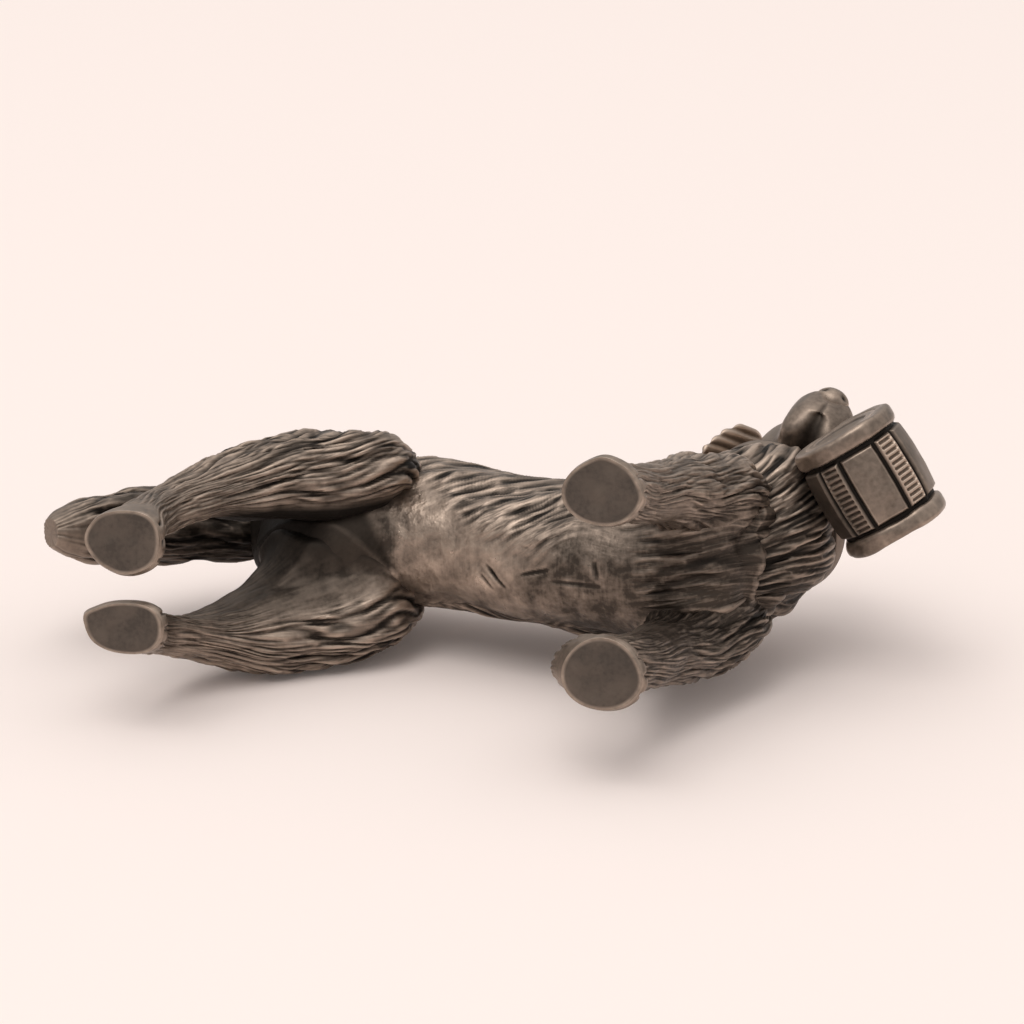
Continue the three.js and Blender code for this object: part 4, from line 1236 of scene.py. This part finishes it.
@dataclass
class Neck:
    """The neck with its mane, the collar round it and the place where the keg hangs.

    Attributes:
        base: Middle of the neck's lowest section.
        top: Middle of its highest section.
        turn: Turn of the throat about Z.
        collar_tilt: Dip of the collar towards the throat.
    """

    base: Triple = (16.0, 0.4, 24.0)
    top: Triple = (18.8, -2.3, 38.2)
    turn: float = math.radians(-27.0)
    sections: tuple[tuple[float, float], ...] = ((9.5, 9.0), (13.0, 15.0), (10.6, 10.8), (6.6, 6.6))
    collar_share: float = 2.0 / 3.0
    collar_tilt: float = math.radians(16.0)
    collar_width: float = 1.6
    collar_thickness: float = 0.7
    collar_sunk: float = 0.2
    mane: float = 1.2
    broad: Strokes = Strokes(2.0, 9.0, 0.32, ink=0.7, width=0.65, sway=0.35, sway_length=9.0, lanes=20, seed=43)
    fine: Strokes = Strokes(1.0, 5.0, 0.3, ink=0.8, width=0.55, sway=0.2, sway_length=7.0, lanes=40, seed=45)

    def __post_init__(self) -> None:
        """Works out the neck's own axes."""
        self.run = np.array(self.top) - np.array(self.base)
        self.axis = unit(self.run)
        facing = turned(X_AXIS, Z_AXIS, self.turn)
        self.left = unit(np.cross(self.axis, facing))
        self.front = unit(np.cross(self.left, self.axis))
        self.dip = turned(self.front, self.left, self.collar_tilt)

    def on(self, share: float) -> Array:
        """A place on the neck's axis."""
        return np.array(self.base) + self.run * share

    def loft(self) -> Loft:
        """The neck's sections as a loft."""
        shares = np.linspace(0.0, 1.0, len(self.sections))
        stations = [Station(tuple(self.on(s)), w / 2, d / 2) for s, (w, d) in zip(shares, self.sections)]
        return Loft(stations, self.left, self.front)

    def weld(self, trunk: Loft) -> Weld:
        """The neck's fillet with the trunk."""
        return Weld(trunk, self.loft(), lambda points, away: np.full(points.shape[:-1], 2.0))

    def reach(self, directions: Array) -> Array:
        """How far the neck reaches from the collar's middle along directions in the collar's plane.

        The reach r solves r * sqrt((l / a)^2 + (f / b)^2) = 1 with the half sizes a and b taken at the height
        that r itself reaches, by repeated substitution.

        Args:
            directions: Unit vectors.

        Returns:
            One distance for each direction.
        """
        loft = self.loft()
        reach = np.full(directions.shape[:-1], 5.0)
        for _ in range(12):
            share = self.collar_share + reach * (directions @ self.axis) / np.linalg.norm(self.run)
            size = loft.sizes(share)
            reach = 1.0 / np.hypot(directions @ self.left / size[..., 0], directions @ self.front / size[..., 1])
        return reach

    def build(self, shop: Workshop) -> None:
        """Lofts the neck with a rounded foot, carves the mane over the collar, then makes the collar."""
        loft = self.loft()
        foot = Station(tuple(self.on(-1.0 / 3.0)), 2.0, 2.2, 1.8)
        loft.stations = [foot, *loft.stations]
        height = lambda share: (share * 4.0 - 1.0) / 3.0
        flutes = locks(9, 0.7)
        cover = lambda share, angle: hump(0.55, 0.15, share) * hump(0.0, 0.6, wrapped(angle - 2.1))
        relief = lambda share, angle: flutes(height(share), angle) + self.mane * cover(height(share), angle)
        skin = loft.skin(260, 330, relief)
        skin.push(0.25 * mottle(skin.points, 3.0, 41) + 0.09 * mottle(skin.points, 1.1, 42))
        self.broad.round(skin, 1.0, 0.02)
        self.fine.round(skin, 1.0, 0.05)
        shop.piece("neck_mane", skin, Slot.DARK, "neck_ruff")
        self.collar(shop)

    def collar(self, shop: Workshop) -> None:
        """A band round the neck: a rounded oblong carried round the collar's plane."""
        angle = turns(240)[:, None]
        out = np.cos(angle) * self.left + np.sin(angle) * self.dip
        corner = turns(40)[None, :]
        across, along = (rounded(side(corner), 0.5) for side in (np.cos, np.sin))
        thick = (self.collar_thickness + 2.0 * self.collar_sunk) / 2.0
        reach = self.reach(out)[:, None] + thick - self.collar_sunk + thick * across
        rise = self.collar_width / 2.0 * along
        normal = turned(self.axis, self.left, self.collar_tilt)
        middle = self.on(self.collar_share)
        points = middle + reach[..., None] * out[:, None, :] + rise[..., None] * normal
        skin = Skin(points, angle / TURN, corner)
        skin.note("groove", 0.25 + hump(0.0, 0.25, np.abs(np.sin(corner)) - 0.62) * 0.5 + 0.0 * angle)
        shop.piece("collar_strap", skin, Slot.DARK, "collar", ring=True)


@dataclass
class Head:
    """The turned head: skull and muzzle, nose pad, eyes and drop ears."""

    at: Triple = (17.25, 0.8, 40.0)
    turn: float = math.radians(-66.0)
    nod: float = math.radians(22.0)
    skull: tuple[float, float, float, float] = (8.0, 9.4, 4.6, 4.2)
    muzzle: tuple[float, float, float, float] = (5.6, 5.3, 1.5, 4.0)
    mouth_depth: float = 1.0
    nose: float = 1.0
    eye: float = 0.55
    eye_spread: float = 5.2
    eye_rise: float = 2.0
    ear: tuple[float, float, float] = (7.0, 5.6, 1.5)
    ear_flare: float = math.radians(22.0)
    ear_root: tuple[float, float] = (4.0, 2.2)
    hair: Strokes = Strokes(0.8, 2.6, 0.18, width=0.65, fill=0.75, sway=0.2, seed=53)

    def place(self, points: Array) -> Array:
        """Points of the head's own frame, nodded about Y, turned about Z and moved to the neck."""
        x, y, z = points[..., 0], points[..., 1], points[..., 2]
        low = x * math.cos(self.nod) + z * math.sin(self.nod)
        high = z * math.cos(self.nod) - x * math.sin(self.nod)
        spun = np.stack([low * math.cos(self.turn) - y * math.sin(self.turn),
                         low * math.sin(self.turn) + y * math.cos(self.turn), high], axis=-1)
        return spun + np.array(self.at)

    def loft(self) -> Loft:
        """Skull and muzzle as sections from the back of the skull to the nose."""
        length, width, rise, fall = self.skull
        run, wide, top, flew = self.muzzle
        tip = length + run
        back = ((0, 0.25, 0.25, 0.25), (0.06, 0.55, 0.52, 0.52), (0.22, 0.86, 0.83, 0.8), (0.52, 1, 1, 1),
                (0.84, 0.93, 0.92, 1))
        fore = ((0.6, 1, 1, 1), (0.28, 0.95, 1, 0.92), (0.08, 0.68, 0.9, 0.66), (0, 0.36, 0.5, 0.3))
        stations = [Station((length * a, 0, 0), width / 2 * w, rise * r, fall * f) for a, w, r, f in back]
        stations.append(Station((length * 1.08, 0, 0), (width + wide) / 4, top * 1.5, flew))
        stations += [Station((tip - run * b, 0, 0), wide / 2 * w, top * r, flew * f) for b, w, r, f in fore]
        return Loft(stations, Y_AXIS, Z_AXIS, 2.3)

    def build(self, shop: Workshop) -> None:
        """Builds the skull and muzzle, then the nose pad, the eyes and the ears."""
        skin = self.loft().skin(230, 240, lambda *place: -self.mouth_depth * self.mouth(*place))
        x, y, z = (skin.points[..., k] for k in range(3))
        for side in (-1.0, 1.0):
            away = np.linalg.norm(skin.points - self.eye_at(side), axis=-1)
            skin.push(0.2 * hump(1.1, 0.35, away) - 0.5 * hump(0.0, 0.8, away))
            skin.note("groove", 0.6 * hump(0.62, 0.2, away))
            self.bulge(skin, (6.7, side * 2.3, 3.6), 1.4, 0.3)
            self.bulge(skin, (11.2, side * 1.8, -2.8), 1.1, 0.4)
            skin.sink(0.3, nick(skin.points, (8.3, side * 3.0, -0.9), (8.7, side * 2.6, -3.6), 1.0), 0.7)
        split = hump(0.0, 0.2, y) * ease(12.9, 13.3, x) * ease(-2.6, -1.8, z) * (1 - ease(-0.2, 0.2, z))
        skin.sink(0.15, split, 0.4)
        furrow = hump(0.0, 0.45, y) * ease(4.0, 6.5, x) * (1 - ease(9.0, 10.5, x)) * (z > 0)
        skin.sink(0.25, furrow, 0.4)
        cheek = (1 - ease(6.5, 9.0, x)) * ease(0.7, 2.4, x)
        skin.push(0.08 * mottle(skin.points, 1.6, 51))
        self.hair.cut(skin, -z, y + 0.5 * np.sin(0.5 * z), 1 - ease(1.0, 2.8, x))
        replace(self.hair, lanes=36).round(skin, cheek)
        skin.note("groove", 0.6 * ease(0.2, 0.9, self.mouth(skin.share, skin.angle)))
        skin.points = self.place(skin.points)
        shop.piece("head_skull", skin, Slot.WORN, "head")
        self.nose_piece(shop)
        for side, name in ((-1.0, "right"), (1.0, "left")):
            self.ball(shop, name + "_eye", self.eye_at(side), (self.eye, self.eye, self.eye))
            self.ear_piece(shop, side, name)

    @staticmethod
    def bulge(skin: Skin, at: Triple, radius: float, height: float) -> None:
        """Raises a skin to a height at a place, falling off by a bell curve of the distance over the radius."""
        skin.push(height * hump(0.0, radius, np.linalg.norm(skin.points - np.array(at), axis=-1)))

    def eye_at(self, side: float) -> Array:
        """Middle of an eye in the head's own frame."""
        return np.array((self.skull[0], side * self.eye_spread / 2.0, self.eye_rise))

    def mouth(self, share: Array, angle: Array) -> Array:
        """The hollow between the flews, from 0 to 1: a power of the sine of the angle below the chin."""
        run = ease(0.5, 0.68, share) * (1 - ease(0.86, 0.96, share))
        return run * np.maximum(-np.sin(angle - 0.05), 0.0) ** 10

    def ball(self, shop: Workshop, name: str, at: Array, radii: Triple, dents: Sequence[Triple] = ()) -> None:
        """An ellipsoid on the head, with round dents.

        Args:
            shop: Makes the piece.
            name: Name of the piece.
            at: Its middle in the head's own frame.
            radii: Its three radii.
            dents: Directions of the dents from its middle.
        """
        share = np.linspace(0.02, 0.98, 40)[:, None]
        angle = turns(48)[None, :]
        tilt = share * math.pi
        way = np.stack([np.cos(tilt) + 0 * angle, np.sin(tilt) * np.cos(angle), np.sin(tilt) * np.sin(angle)], -1)
        skin = Skin(at + way * np.array(radii), share, angle)
        for dent in dents:
            near = hump(0.0, 0.26, np.linalg.norm(way - unit(np.array(dent)), axis=-1))
            skin.sink(0.25, near, 0.8)
        skin.points = self.place(skin.points)
        shop.piece(name, skin, Slot.WORN)

    def nose_piece(self, shop: Workshop) -> None:
        """The nose pad with its nostrils."""
        at = np.array((self.skull[0] + self.muzzle[0] - self.nose / 2, 0.0, self.muzzle[2] / 2))
        radii = (self.nose, self.nose * 1.35, self.nose)
        self.ball(shop, "nose_pad", at, radii, ((0.75, -0.66, 0.0), (0.75, 0.66, 0.0)))

    def ear_piece(self, shop: Workshop, side: float, name: str) -> None:
        """A leaf that hangs from the side of the skull: sections along a flared line, ribbed like hair.

        Args:
            shop: Makes the piece.
            side: -1 for the right ear, 1 for the left.
            name: Name of the side.
        """
        length, width, thick = self.ear
        root = self.place(np.array((self.ear_root[0], side * self.skull[1] / 2.0, self.ear_root[1])))
        outward = turned(Y_AXIS * side, Z_AXIS, self.turn)
        forward = turned(X_AXIS, Z_AXIS, self.turn)
        down = outward * math.sin(self.ear_flare) - Z_AXIS * math.cos(self.ear_flare)
        table = np.linspace(0.0, 1.0, 6)
        leaf = np.sin(np.pi * (0.14 + 0.82 * table)) ** 0.7
        stations = [Station(tuple(root + down * length * s), width / 2 * f, thick / 2 * f)
                    for s, f in zip(table, leaf)]
        skin = Loft(stations, forward, outward).skin(110, 130)
        skin.push(0.08 * mottle(skin.points, 1.5, 61))
        spread = (skin.points - root) @ forward
        fan = spread * (1.3 - 0.4 * skin.share) + 0.12 * mottle(skin.points, 1.6, 62)
        ribs = (0.5 + 0.5 * np.cos(TURN * fan / 0.8)) ** 1.5 * ease(0.05, 0.3, skin.share)
        skin.push(0.06 - 0.16 * ribs)
        skin.note("groove", 0.25 * ribs)
        # Painted light on the right ear, which faces the lamp, brighter than the left; duller in the ribs.
        skin.note("wear_and_light", 0.72 - 0.28 * side - 0.2 * ribs)
        shop.piece(name + "_ear_flap", skin, Slot.DARK, name + "_ear")


@dataclass
class Keg:
    """The keg across the throat: staves, sunk heads and end hoops. Its own Y is its axis.

    Attributes:
        slide: How far it hangs off the throat's middle, along its axis.
        pairs: How many pairs of a plain and a ribbed stave go round it.
        plain_stave: Angle that a plain stave takes.
        stave_turn: Angle of the first plain stave's middle.
        standoff: Extra distance from the collar.
        chime: Width of the staves' rim round a head.
        tuck: How far the staves end under the hoops' faces.
        hoop_round: Power that rounds the hoops' section.
    """

    turn: float = math.radians(-30.0)
    tilt: float = math.radians(8.0)
    slide: float = 0.3
    length: float = 9.0
    end_radius: float = 3.0
    bulge: float = 1.2
    pairs: int = 5
    plain_stave: float = math.radians(44.0)
    stave_turn: float = math.radians(-73.0)
    groove: float = 0.35
    hoop_width: float = 1.3
    hoop_thickness: float = 0.3
    standoff: float = -0.35
    gap: float = 0.3
    lock_depth: float = 0.22
    head_inset: float = 0.12
    chime: float = 0.8
    ribs: int = 13
    tuck: float = 0.3
    hoop_round: float = 0.58

    def hang(self, neck: Neck) -> None:
        """Works out where the keg hangs: out from the throat along the collar's dip, slid along its axis."""
        throat = neck.on(neck.collar_share) + neck.dip * neck.reach(neck.dip[None])[0]
        clear = 2 * self.gap + neck.collar_thickness + self.lock_depth + self.radius(0.0) + self.standoff
        self.at = throat + neck.dip * clear + turned(Y_AXIS, Z_AXIS, self.turn) * self.slide

    def radius(self, y: Array | float) -> Array | float:
        """Radius of the staves: the end radius plus the bulge times 1 - (2y / length)^2."""
        return self.end_radius + self.bulge * (1.0 - (2.0 * y / self.length) ** 2)

    def shell(self, y: Array) -> Array:
        """Radius of the carved staves, fuller towards the hoops than the solid's."""
        return self.radius(0.0) + 0.1 - 0.45 * (2.0 * y / self.length) ** 2

    def staves(self, angle: Array) -> tuple[Array, Array, Array]:
        """How the staves lie round the keg, a wide plain one and a narrow ribbed one in each pair.

        Args:
            angle: Angles round the keg.

        Returns:
            Angles from the stave's middle, half of its width, and whether it is ribbed.
        """
        place = np.mod(angle - self.stave_turn + self.plain_stave / 2.0, TURN / self.pairs)
        ribbed = place > self.plain_stave
        narrow = TURN / self.pairs - self.plain_stave
        half = np.where(ribbed, narrow, self.plain_stave) / 2.0
        return place - np.where(ribbed, self.plain_stave, 0.0) - half, half, ribbed

    def facet(self, angle: Array, share: float) -> Array:
        """Factor that flattens a round section by a share: a flat's radius is cos(half) / cos(off) of it."""
        off, half, _ = self.staves(angle)
        return 1.0 - share * (1.0 - np.cos(half) / np.cos(off))

    def place(self, points: Array) -> Array:
        """Points of the keg's own frame tilted about X, turned about Z and moved to the throat."""
        x, y, z = points[..., 0], points[..., 1], points[..., 2]
        c, s = math.cos(self.tilt), math.sin(self.tilt)
        y, z = c * y - s * z, s * y + c * z
        c, s = math.cos(self.turn), math.sin(self.turn)
        return np.stack([c * x - s * y, s * x + c * y, z], axis=-1) + self.at

    def revolve(self, radius: Array, y: Array, columns: int) -> Skin:
        """A surface of revolution about Y from a profile of radii and places.

        Args:
            radius: Radius of each row, as a column or a full grid.
            y: Place of each row along the axis, as a column.
            columns: Columns round the axis.

        Returns:
            The grid of points in the keg's own frame.
        """
        angle = turns(columns)[None, :]
        around = radius + 0.0 * angle
        points = np.stack([around * np.cos(angle), y + 0.0 * angle, around * np.sin(angle)], axis=-1)
        return Skin(points, np.linspace(0, 1, len(y))[:, None], angle)

    def build(self, shop: Workshop) -> None:
        """Builds the staves with their ribs, the heads and the hoops."""
        columns = self.pairs * 96
        end = self.length / 2 - self.tuck
        y = np.linspace(-end, end, 150)[:, None]
        angle = turns(columns)[None, :]
        off, half, ribbed = self.staves(angle)
        seam = half - np.abs(off)
        joint = np.clip(1.2 - seam / 0.065, 0.0, 1.0)
        inner = self.length / 2 - self.hoop_width - 0.25
        edge = ease(inner - 0.3, inner, np.abs(y)) * (np.abs(y) < inner + 0.4)
        span = np.abs(y) < inner
        ripple = (0.5 + 0.5 * np.cos(TURN * self.ribs * (y / (2 * inner) + 0.5))) ** 1.7
        cut = ribbed * ease(0.07, 0.12, seam) * span * ripple
        dark = np.maximum(np.maximum(joint, edge), np.where(ribbed, 0.55 * cut, 0.15))
        under = ease(inner + 0.4, inner + 0.7, np.abs(y))
        height = -self.groove * np.maximum(joint, edge) - 0.26 * cut - 0.5 * under
        skin = self.revolve((self.shell(y) + 0.08) * self.facet(angle, 0.6) + height, y, columns)
        skin.push(0.03 * mottle(skin.points, 0.9, 71))
        # Painted shade on the staves turned from the lamp: darker, and their ribs not rubbed bright.
        back = hump(0.0, 0.75, wrapped(angle - self.stave_turn + 1.2))
        skin.note("groove", np.maximum(dark, 0.5 * back))
        skin.note("wear_and_light", np.where(ribbed, 1.0, 0.0) * (1.0 - back) + 0.0 * y)
        self.close(skin)
        skin.points = self.place(skin.points)
        shop.piece("keg_staves", skin, Slot.WORN, "keg_barrel")
        for end, name in ((-1.0, "keg_hoop_right"), (1.0, "keg_hoop_left")):
            self.hoop(shop, end, name)

    def close(self, skin: Skin) -> None:
        """Adds the chime and the sunk head to both ends of the staves.

        Args:
            skin: The staves, which gain rows at both ends.
        """
        disc = self.end_radius - self.chime
        radii = np.concatenate([np.linspace(self.end_radius, disc + 0.05, 5), np.linspace(disc, 0.05, 14)])
        depth = np.concatenate([np.zeros(5), np.full(14, self.head_inset)])
        depth[5] = 0.04
        ends = []
        for end in (-1.0, 1.0):
            y = end * (self.length / 2 - depth)[:, None]
            cap = self.revolve(radii[:, None], y, skin.points.shape[1]).points
            ends.append(cap[::-1] if end < 0 else cap)
        blank = np.zeros((len(radii), skin.points.shape[1]))
        blank[5:7] = 0.3
        skin.points = np.concatenate([ends[0], skin.points, ends[1]])
        for name, values in skin.notes.items():
            end = blank if name == "groove" else np.zeros_like(blank)
            skin.notes[name] = np.concatenate([end[::-1], values, end])
        skin.share = np.linspace(0, 1, len(skin.points))[:, None]

    def hoop(self, shop: Workshop, end: float, name: str) -> None:
        """An end hoop: a rounded oblong carried round the keg's axis.

        Args:
            shop: Makes the piece.
            end: -1 for the right end, 1 for the left.
            name: The solid it stands for.
        """
        corner = turns(48)[:, None]
        out, along = (rounded(side(corner), self.hoop_round) for side in (np.cos, np.sin))
        near = self.length / 2 - self.hoop_width
        outer = self.radius(near) + self.gap + self.hoop_thickness
        inner = self.end_radius - 0.1
        radius = (outer + inner) / 2 + (outer - inner) / 2 * out
        wide = self.hoop_width + 0.1
        y = end * (self.length / 2 + 0.05 - wide / 2) + wide / 2 * along
        columns = 200
        skin = self.revolve(radius * self.facet(turns(columns)[None, :], 0.35), y, columns)
        skin.push(0.1 * mottle(skin.points, 1.6, 73))
        skin.notes["wear_and_light"] = hump(0.0, 0.9, wrapped(corner)) * 0.4 + 0.0 * skin.angle
        skin.points = self.place(skin.points)
        shop.piece(name + "_band", skin, Slot.WORN, name, ring=True)


@dataclass
class Studio:
    """The cloth, the light and the camera.

    Attributes:
        turn: Turn of the camera from the soles' normal towards the head, about Y.
        rise: Rise of the camera towards the animal's right side.
        distance: Distance of the camera from its target.
        target: What the camera looks at.
        pixels: Focal length in pixels of a 1024-pixel frame.
        cloth_rise: Angle at which the camera looks down on the cloth.
        cloth_reach: Half of the cloth's side.
        cloth_colour: Colour of the cloth.
        cloth_thin: Share of the light that the cloth lets through.
        overhead: Side and power of the lamp over the cloth.
        front: Side and power of the lamp above the camera.
        lamp_colour: Colour of both lamps.
        pale: Colour of the world.
        low_level: Strength of the world below the cloth.
        high_level: What the world gains towards the cloth's normal.
    """

    turn: float = math.radians(18.0)
    rise: float = math.radians(7.0)
    distance: float = 380.0
    target: Triple = (0.0, -2.4, 24.0)
    pixels: float = 4940.0
    cloth_rise: float = math.radians(18.0)
    cloth_reach: float = 900.0
    cloth_colour: Triple = (1.0, 0.9, 0.86)
    cloth_thin: float = 0.14
    overhead: tuple[float, float] = (1600.0, 4.2)
    front: tuple[float, float] = (900.0, 6.4)
    lamp_colour: Triple = (1.0, 0.97, 0.94)
    pale: Triple = (1.0, 0.97, 0.95)
    low_level: float = 0.31
    high_level: float = 0.7

    def __post_init__(self) -> None:
        """Works out the camera's axes and the cloth's normal."""
        flat = np.array((math.sin(self.turn), 0.0, -math.cos(self.turn)))
        self.right = np.array((math.cos(self.turn), 0.0, math.sin(self.turn)))
        self.back = flat * math.cos(self.rise) - Y_AXIS * math.sin(self.rise)
        self.up = -Y_AXIS * math.cos(self.rise) - flat * math.sin(self.rise)
        self.normal = self.up * math.cos(self.cloth_rise) + self.back * math.sin(self.cloth_rise)
        self.away = np.cross(self.normal, self.right)

    def build(self, shop: Workshop) -> None:
        """Lays the cloth under the figurine's lowest points, then sets the light and the camera."""
        low = min(float((points @ self.normal).min()) for points in shop.lowest)
        self.shift = shop.shift
        self.lay_cloth(low - 0.02)
        self.light()
        self.aim()

    def lay_cloth(self, low: float) -> None:
        """A wide square at a height along the cloth's normal, seen only from its front.

        Args:
            low: The cloth's height along its normal.
        """
        middle = np.array(self.target) + self.normal * (low - np.dot(self.target, self.normal))
        ways = [a * self.right + b * self.away for a, b in ((-1, -1), (1, -1), (1, 1), (-1, 1))]
        corners = [middle + self.cloth_reach * way for way in ways]
        mesh = bpy.data.meshes.new("cloth")
        mesh.from_pydata([tuple((c + self.shift) * MM) for c in corners], [], [(0, 1, 2, 3)])
        mesh.update()
        if Vector(tuple(self.normal)).dot(mesh.polygons[0].normal) < 0:
            mesh.flip_normals()
        mesh.materials.append(self.cloth_finish())
        cloth = bpy.data.objects.new("cloth", mesh)
        bpy.context.scene.collection.objects.link(cloth)

    def cloth_finish(self) -> bpy.types.Material:
        """Pale thin cloth that shows its front only, so that the other views see past it."""
        made = bpy.data.materials.new("pale_cloth")
        made.use_nodes = True
        g = Graph(made.node_tree)
        weave = g.node("ShaderNodeBsdfDiffuse", None, Color=rgb(*self.cloth_colour))
        thin = g.node("ShaderNodeBsdfTranslucent", None, Color=rgb(*self.cloth_colour))
        shader = g.node("ShaderNodeMixShader", None, Fac=self.cloth_thin, i1=g.out(weave), i2=g.out(thin))
        hidden = g.node("ShaderNodeBsdfTransparent")
        behind = g.out(g.node("ShaderNodeNewGeometry"), "Backfacing")
        mixed = g.node("ShaderNodeMixShader", None, Fac=behind, i1=g.out(shader), i2=g.out(hidden))
        g.node("ShaderNodeOutputMaterial", None, Surface=g.out(mixed))
        return made

    def lamp(self, name: str, way: Array, size: float, power: float, distance: float = 1500.0) -> None:
        """A square soft lamp that faces the target.

        Args:
            name: Name of the lamp.
            way: Direction from the target to the lamp.
            size: Side of the square, in millimetres.
            power: Power in watts.
            distance: Distance from the target.
        """
        data = bpy.data.lights.new(name, "AREA")
        data.size = size * MM
        data.energy = power
        data.color = self.lamp_colour
        made = bpy.data.objects.new(name, data)
        place = (np.array(self.target) + unit(way) * distance + self.shift) * MM
        made.location = Vector(tuple(place))
        made.rotation_mode = "QUATERNION"
        made.rotation_quaternion = Vector(tuple(-unit(way))).to_track_quat("-Z", "Y")
        made.visible_camera = False
        bpy.context.scene.collection.objects.link(made)

    def light(self) -> None:
        """A wide lamp over the cloth, a smaller one above the camera, and a world paler over the cloth."""
        self.lamp("overhead", self.normal - 0.1 * self.back - 0.1 * self.right, *self.overhead)
        self.lamp("front", self.back * 0.9 + self.up * 0.9 - 0.3 * self.right, *self.front)
        world = bpy.data.worlds.new("studio")
        bpy.context.scene.world = world
        world.use_nodes = True
        g = Graph(world.node_tree)
        way = g.out(g.node("ShaderNodeTexCoord"), "Generated")
        facing = g.node("ShaderNodeVectorMath", {"operation": "DOT_PRODUCT"}, i0=way, i1=tuple(self.normal))
        level = self.low_level + g.out(facing, "Value").clip() * self.high_level
        plain = g.node("ShaderNodeBackground", None, Color=rgb(*self.pale), Strength=level)
        g.node("ShaderNodeOutputWorld", None, Surface=g.out(plain))

    def aim(self) -> None:
        """Places the camera: its columns are right, up and back."""
        data = bpy.data.cameras.new("camera")
        data.sensor_width = 36.0
        data.lens = 36.0 * self.pixels / 1024.0
        data.clip_start, data.clip_end = 0.01, 10.0
        made = bpy.data.objects.new("camera", data)
        place = (np.array(self.target) + self.back * self.distance + self.shift) * MM
        turn = Matrix([[self.right[k], self.up[k], self.back[k]] for k in range(3)]).to_4x4()
        made.matrix_world = Matrix.Translation(Vector(tuple(place))) @ turn
        bpy.context.scene.collection.objects.link(made)
        bpy.context.scene.camera = made


def main() -> None:
    """Builds the figurine piece by piece, then the studio."""
    logging.basicConfig(level=logging.INFO, format="%(message)s")
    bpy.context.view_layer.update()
    trunk = Trunk()
    low, high = (np.array(corner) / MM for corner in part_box("torso"))
    plain = trunk.loft().skin(200, 200, trunk.flutes).points.reshape(-1, 3)
    middle = (plain.min(axis=0) + plain.max(axis=0)) / 2.0
    shift = np.array(((low + high)[0] / 2 - middle[0], (low + high)[1] / 2 - middle[1], 0.0))
    shop = Workshop(shift, WearAndLight())
    half = math.pi / 2.0
    legs = (
        HindLeg(-1.0, "right_hind_leg", -2.2, (5.9, 4.8), ((2 * half, 0.25), (half, 0.15)), squareness=2.4,
                shade=1.0, stifle_y=-5.5, gaskin_y=-4.9, hock_y=-4.4, shank_y=-3.6, pastern_y=-3.2, lip=0.6,
                crotch=0.6),
        HindLeg(1.0, "left_hind_leg", 4.3, (6.2, 4.0), ((-2.86, 0.35),), squareness=2.4,
                shade=0.42, fillet_shade=0.3, stifle_y=6.0, gaskin_y=6.8, hock_y=6.5,
                shank_y=5.7, pastern_y=5.0, crotch=2.8, saddle=7.0),
        FrontLeg(-1.0, "right_front_leg", -7.1, (6.1, 5.0), ((-half, 0.18), (0.1, 0.15)), ink=0.45,
                 elbow_y=-5.2, heel_tuft=0.6),
        FrontLeg(1.0, "left_front_leg", 6.0, (6.2, 5.5), ((0.2, 0.12),), elbow_y=6.5, heel_tuft=1.7),
    )
    neck, tail = Neck(), Tail()
    body = trunk.loft()
    trunk.build(shop, [part.weld(body) for part in (*legs, neck, tail)])
    for leg in legs:
        leg.build(shop, body)
    tail.build(shop)
    neck.build(shop)
    Head().build(shop)
    keg = Keg()
    keg.hang(neck)
    keg.build(shop)
    Studio().build(shop)
    bpy.context.scene.view_settings.view_transform = "Standard"
    LOG.info("shift %s", shift)


if __name__ == "__main__":
    main()
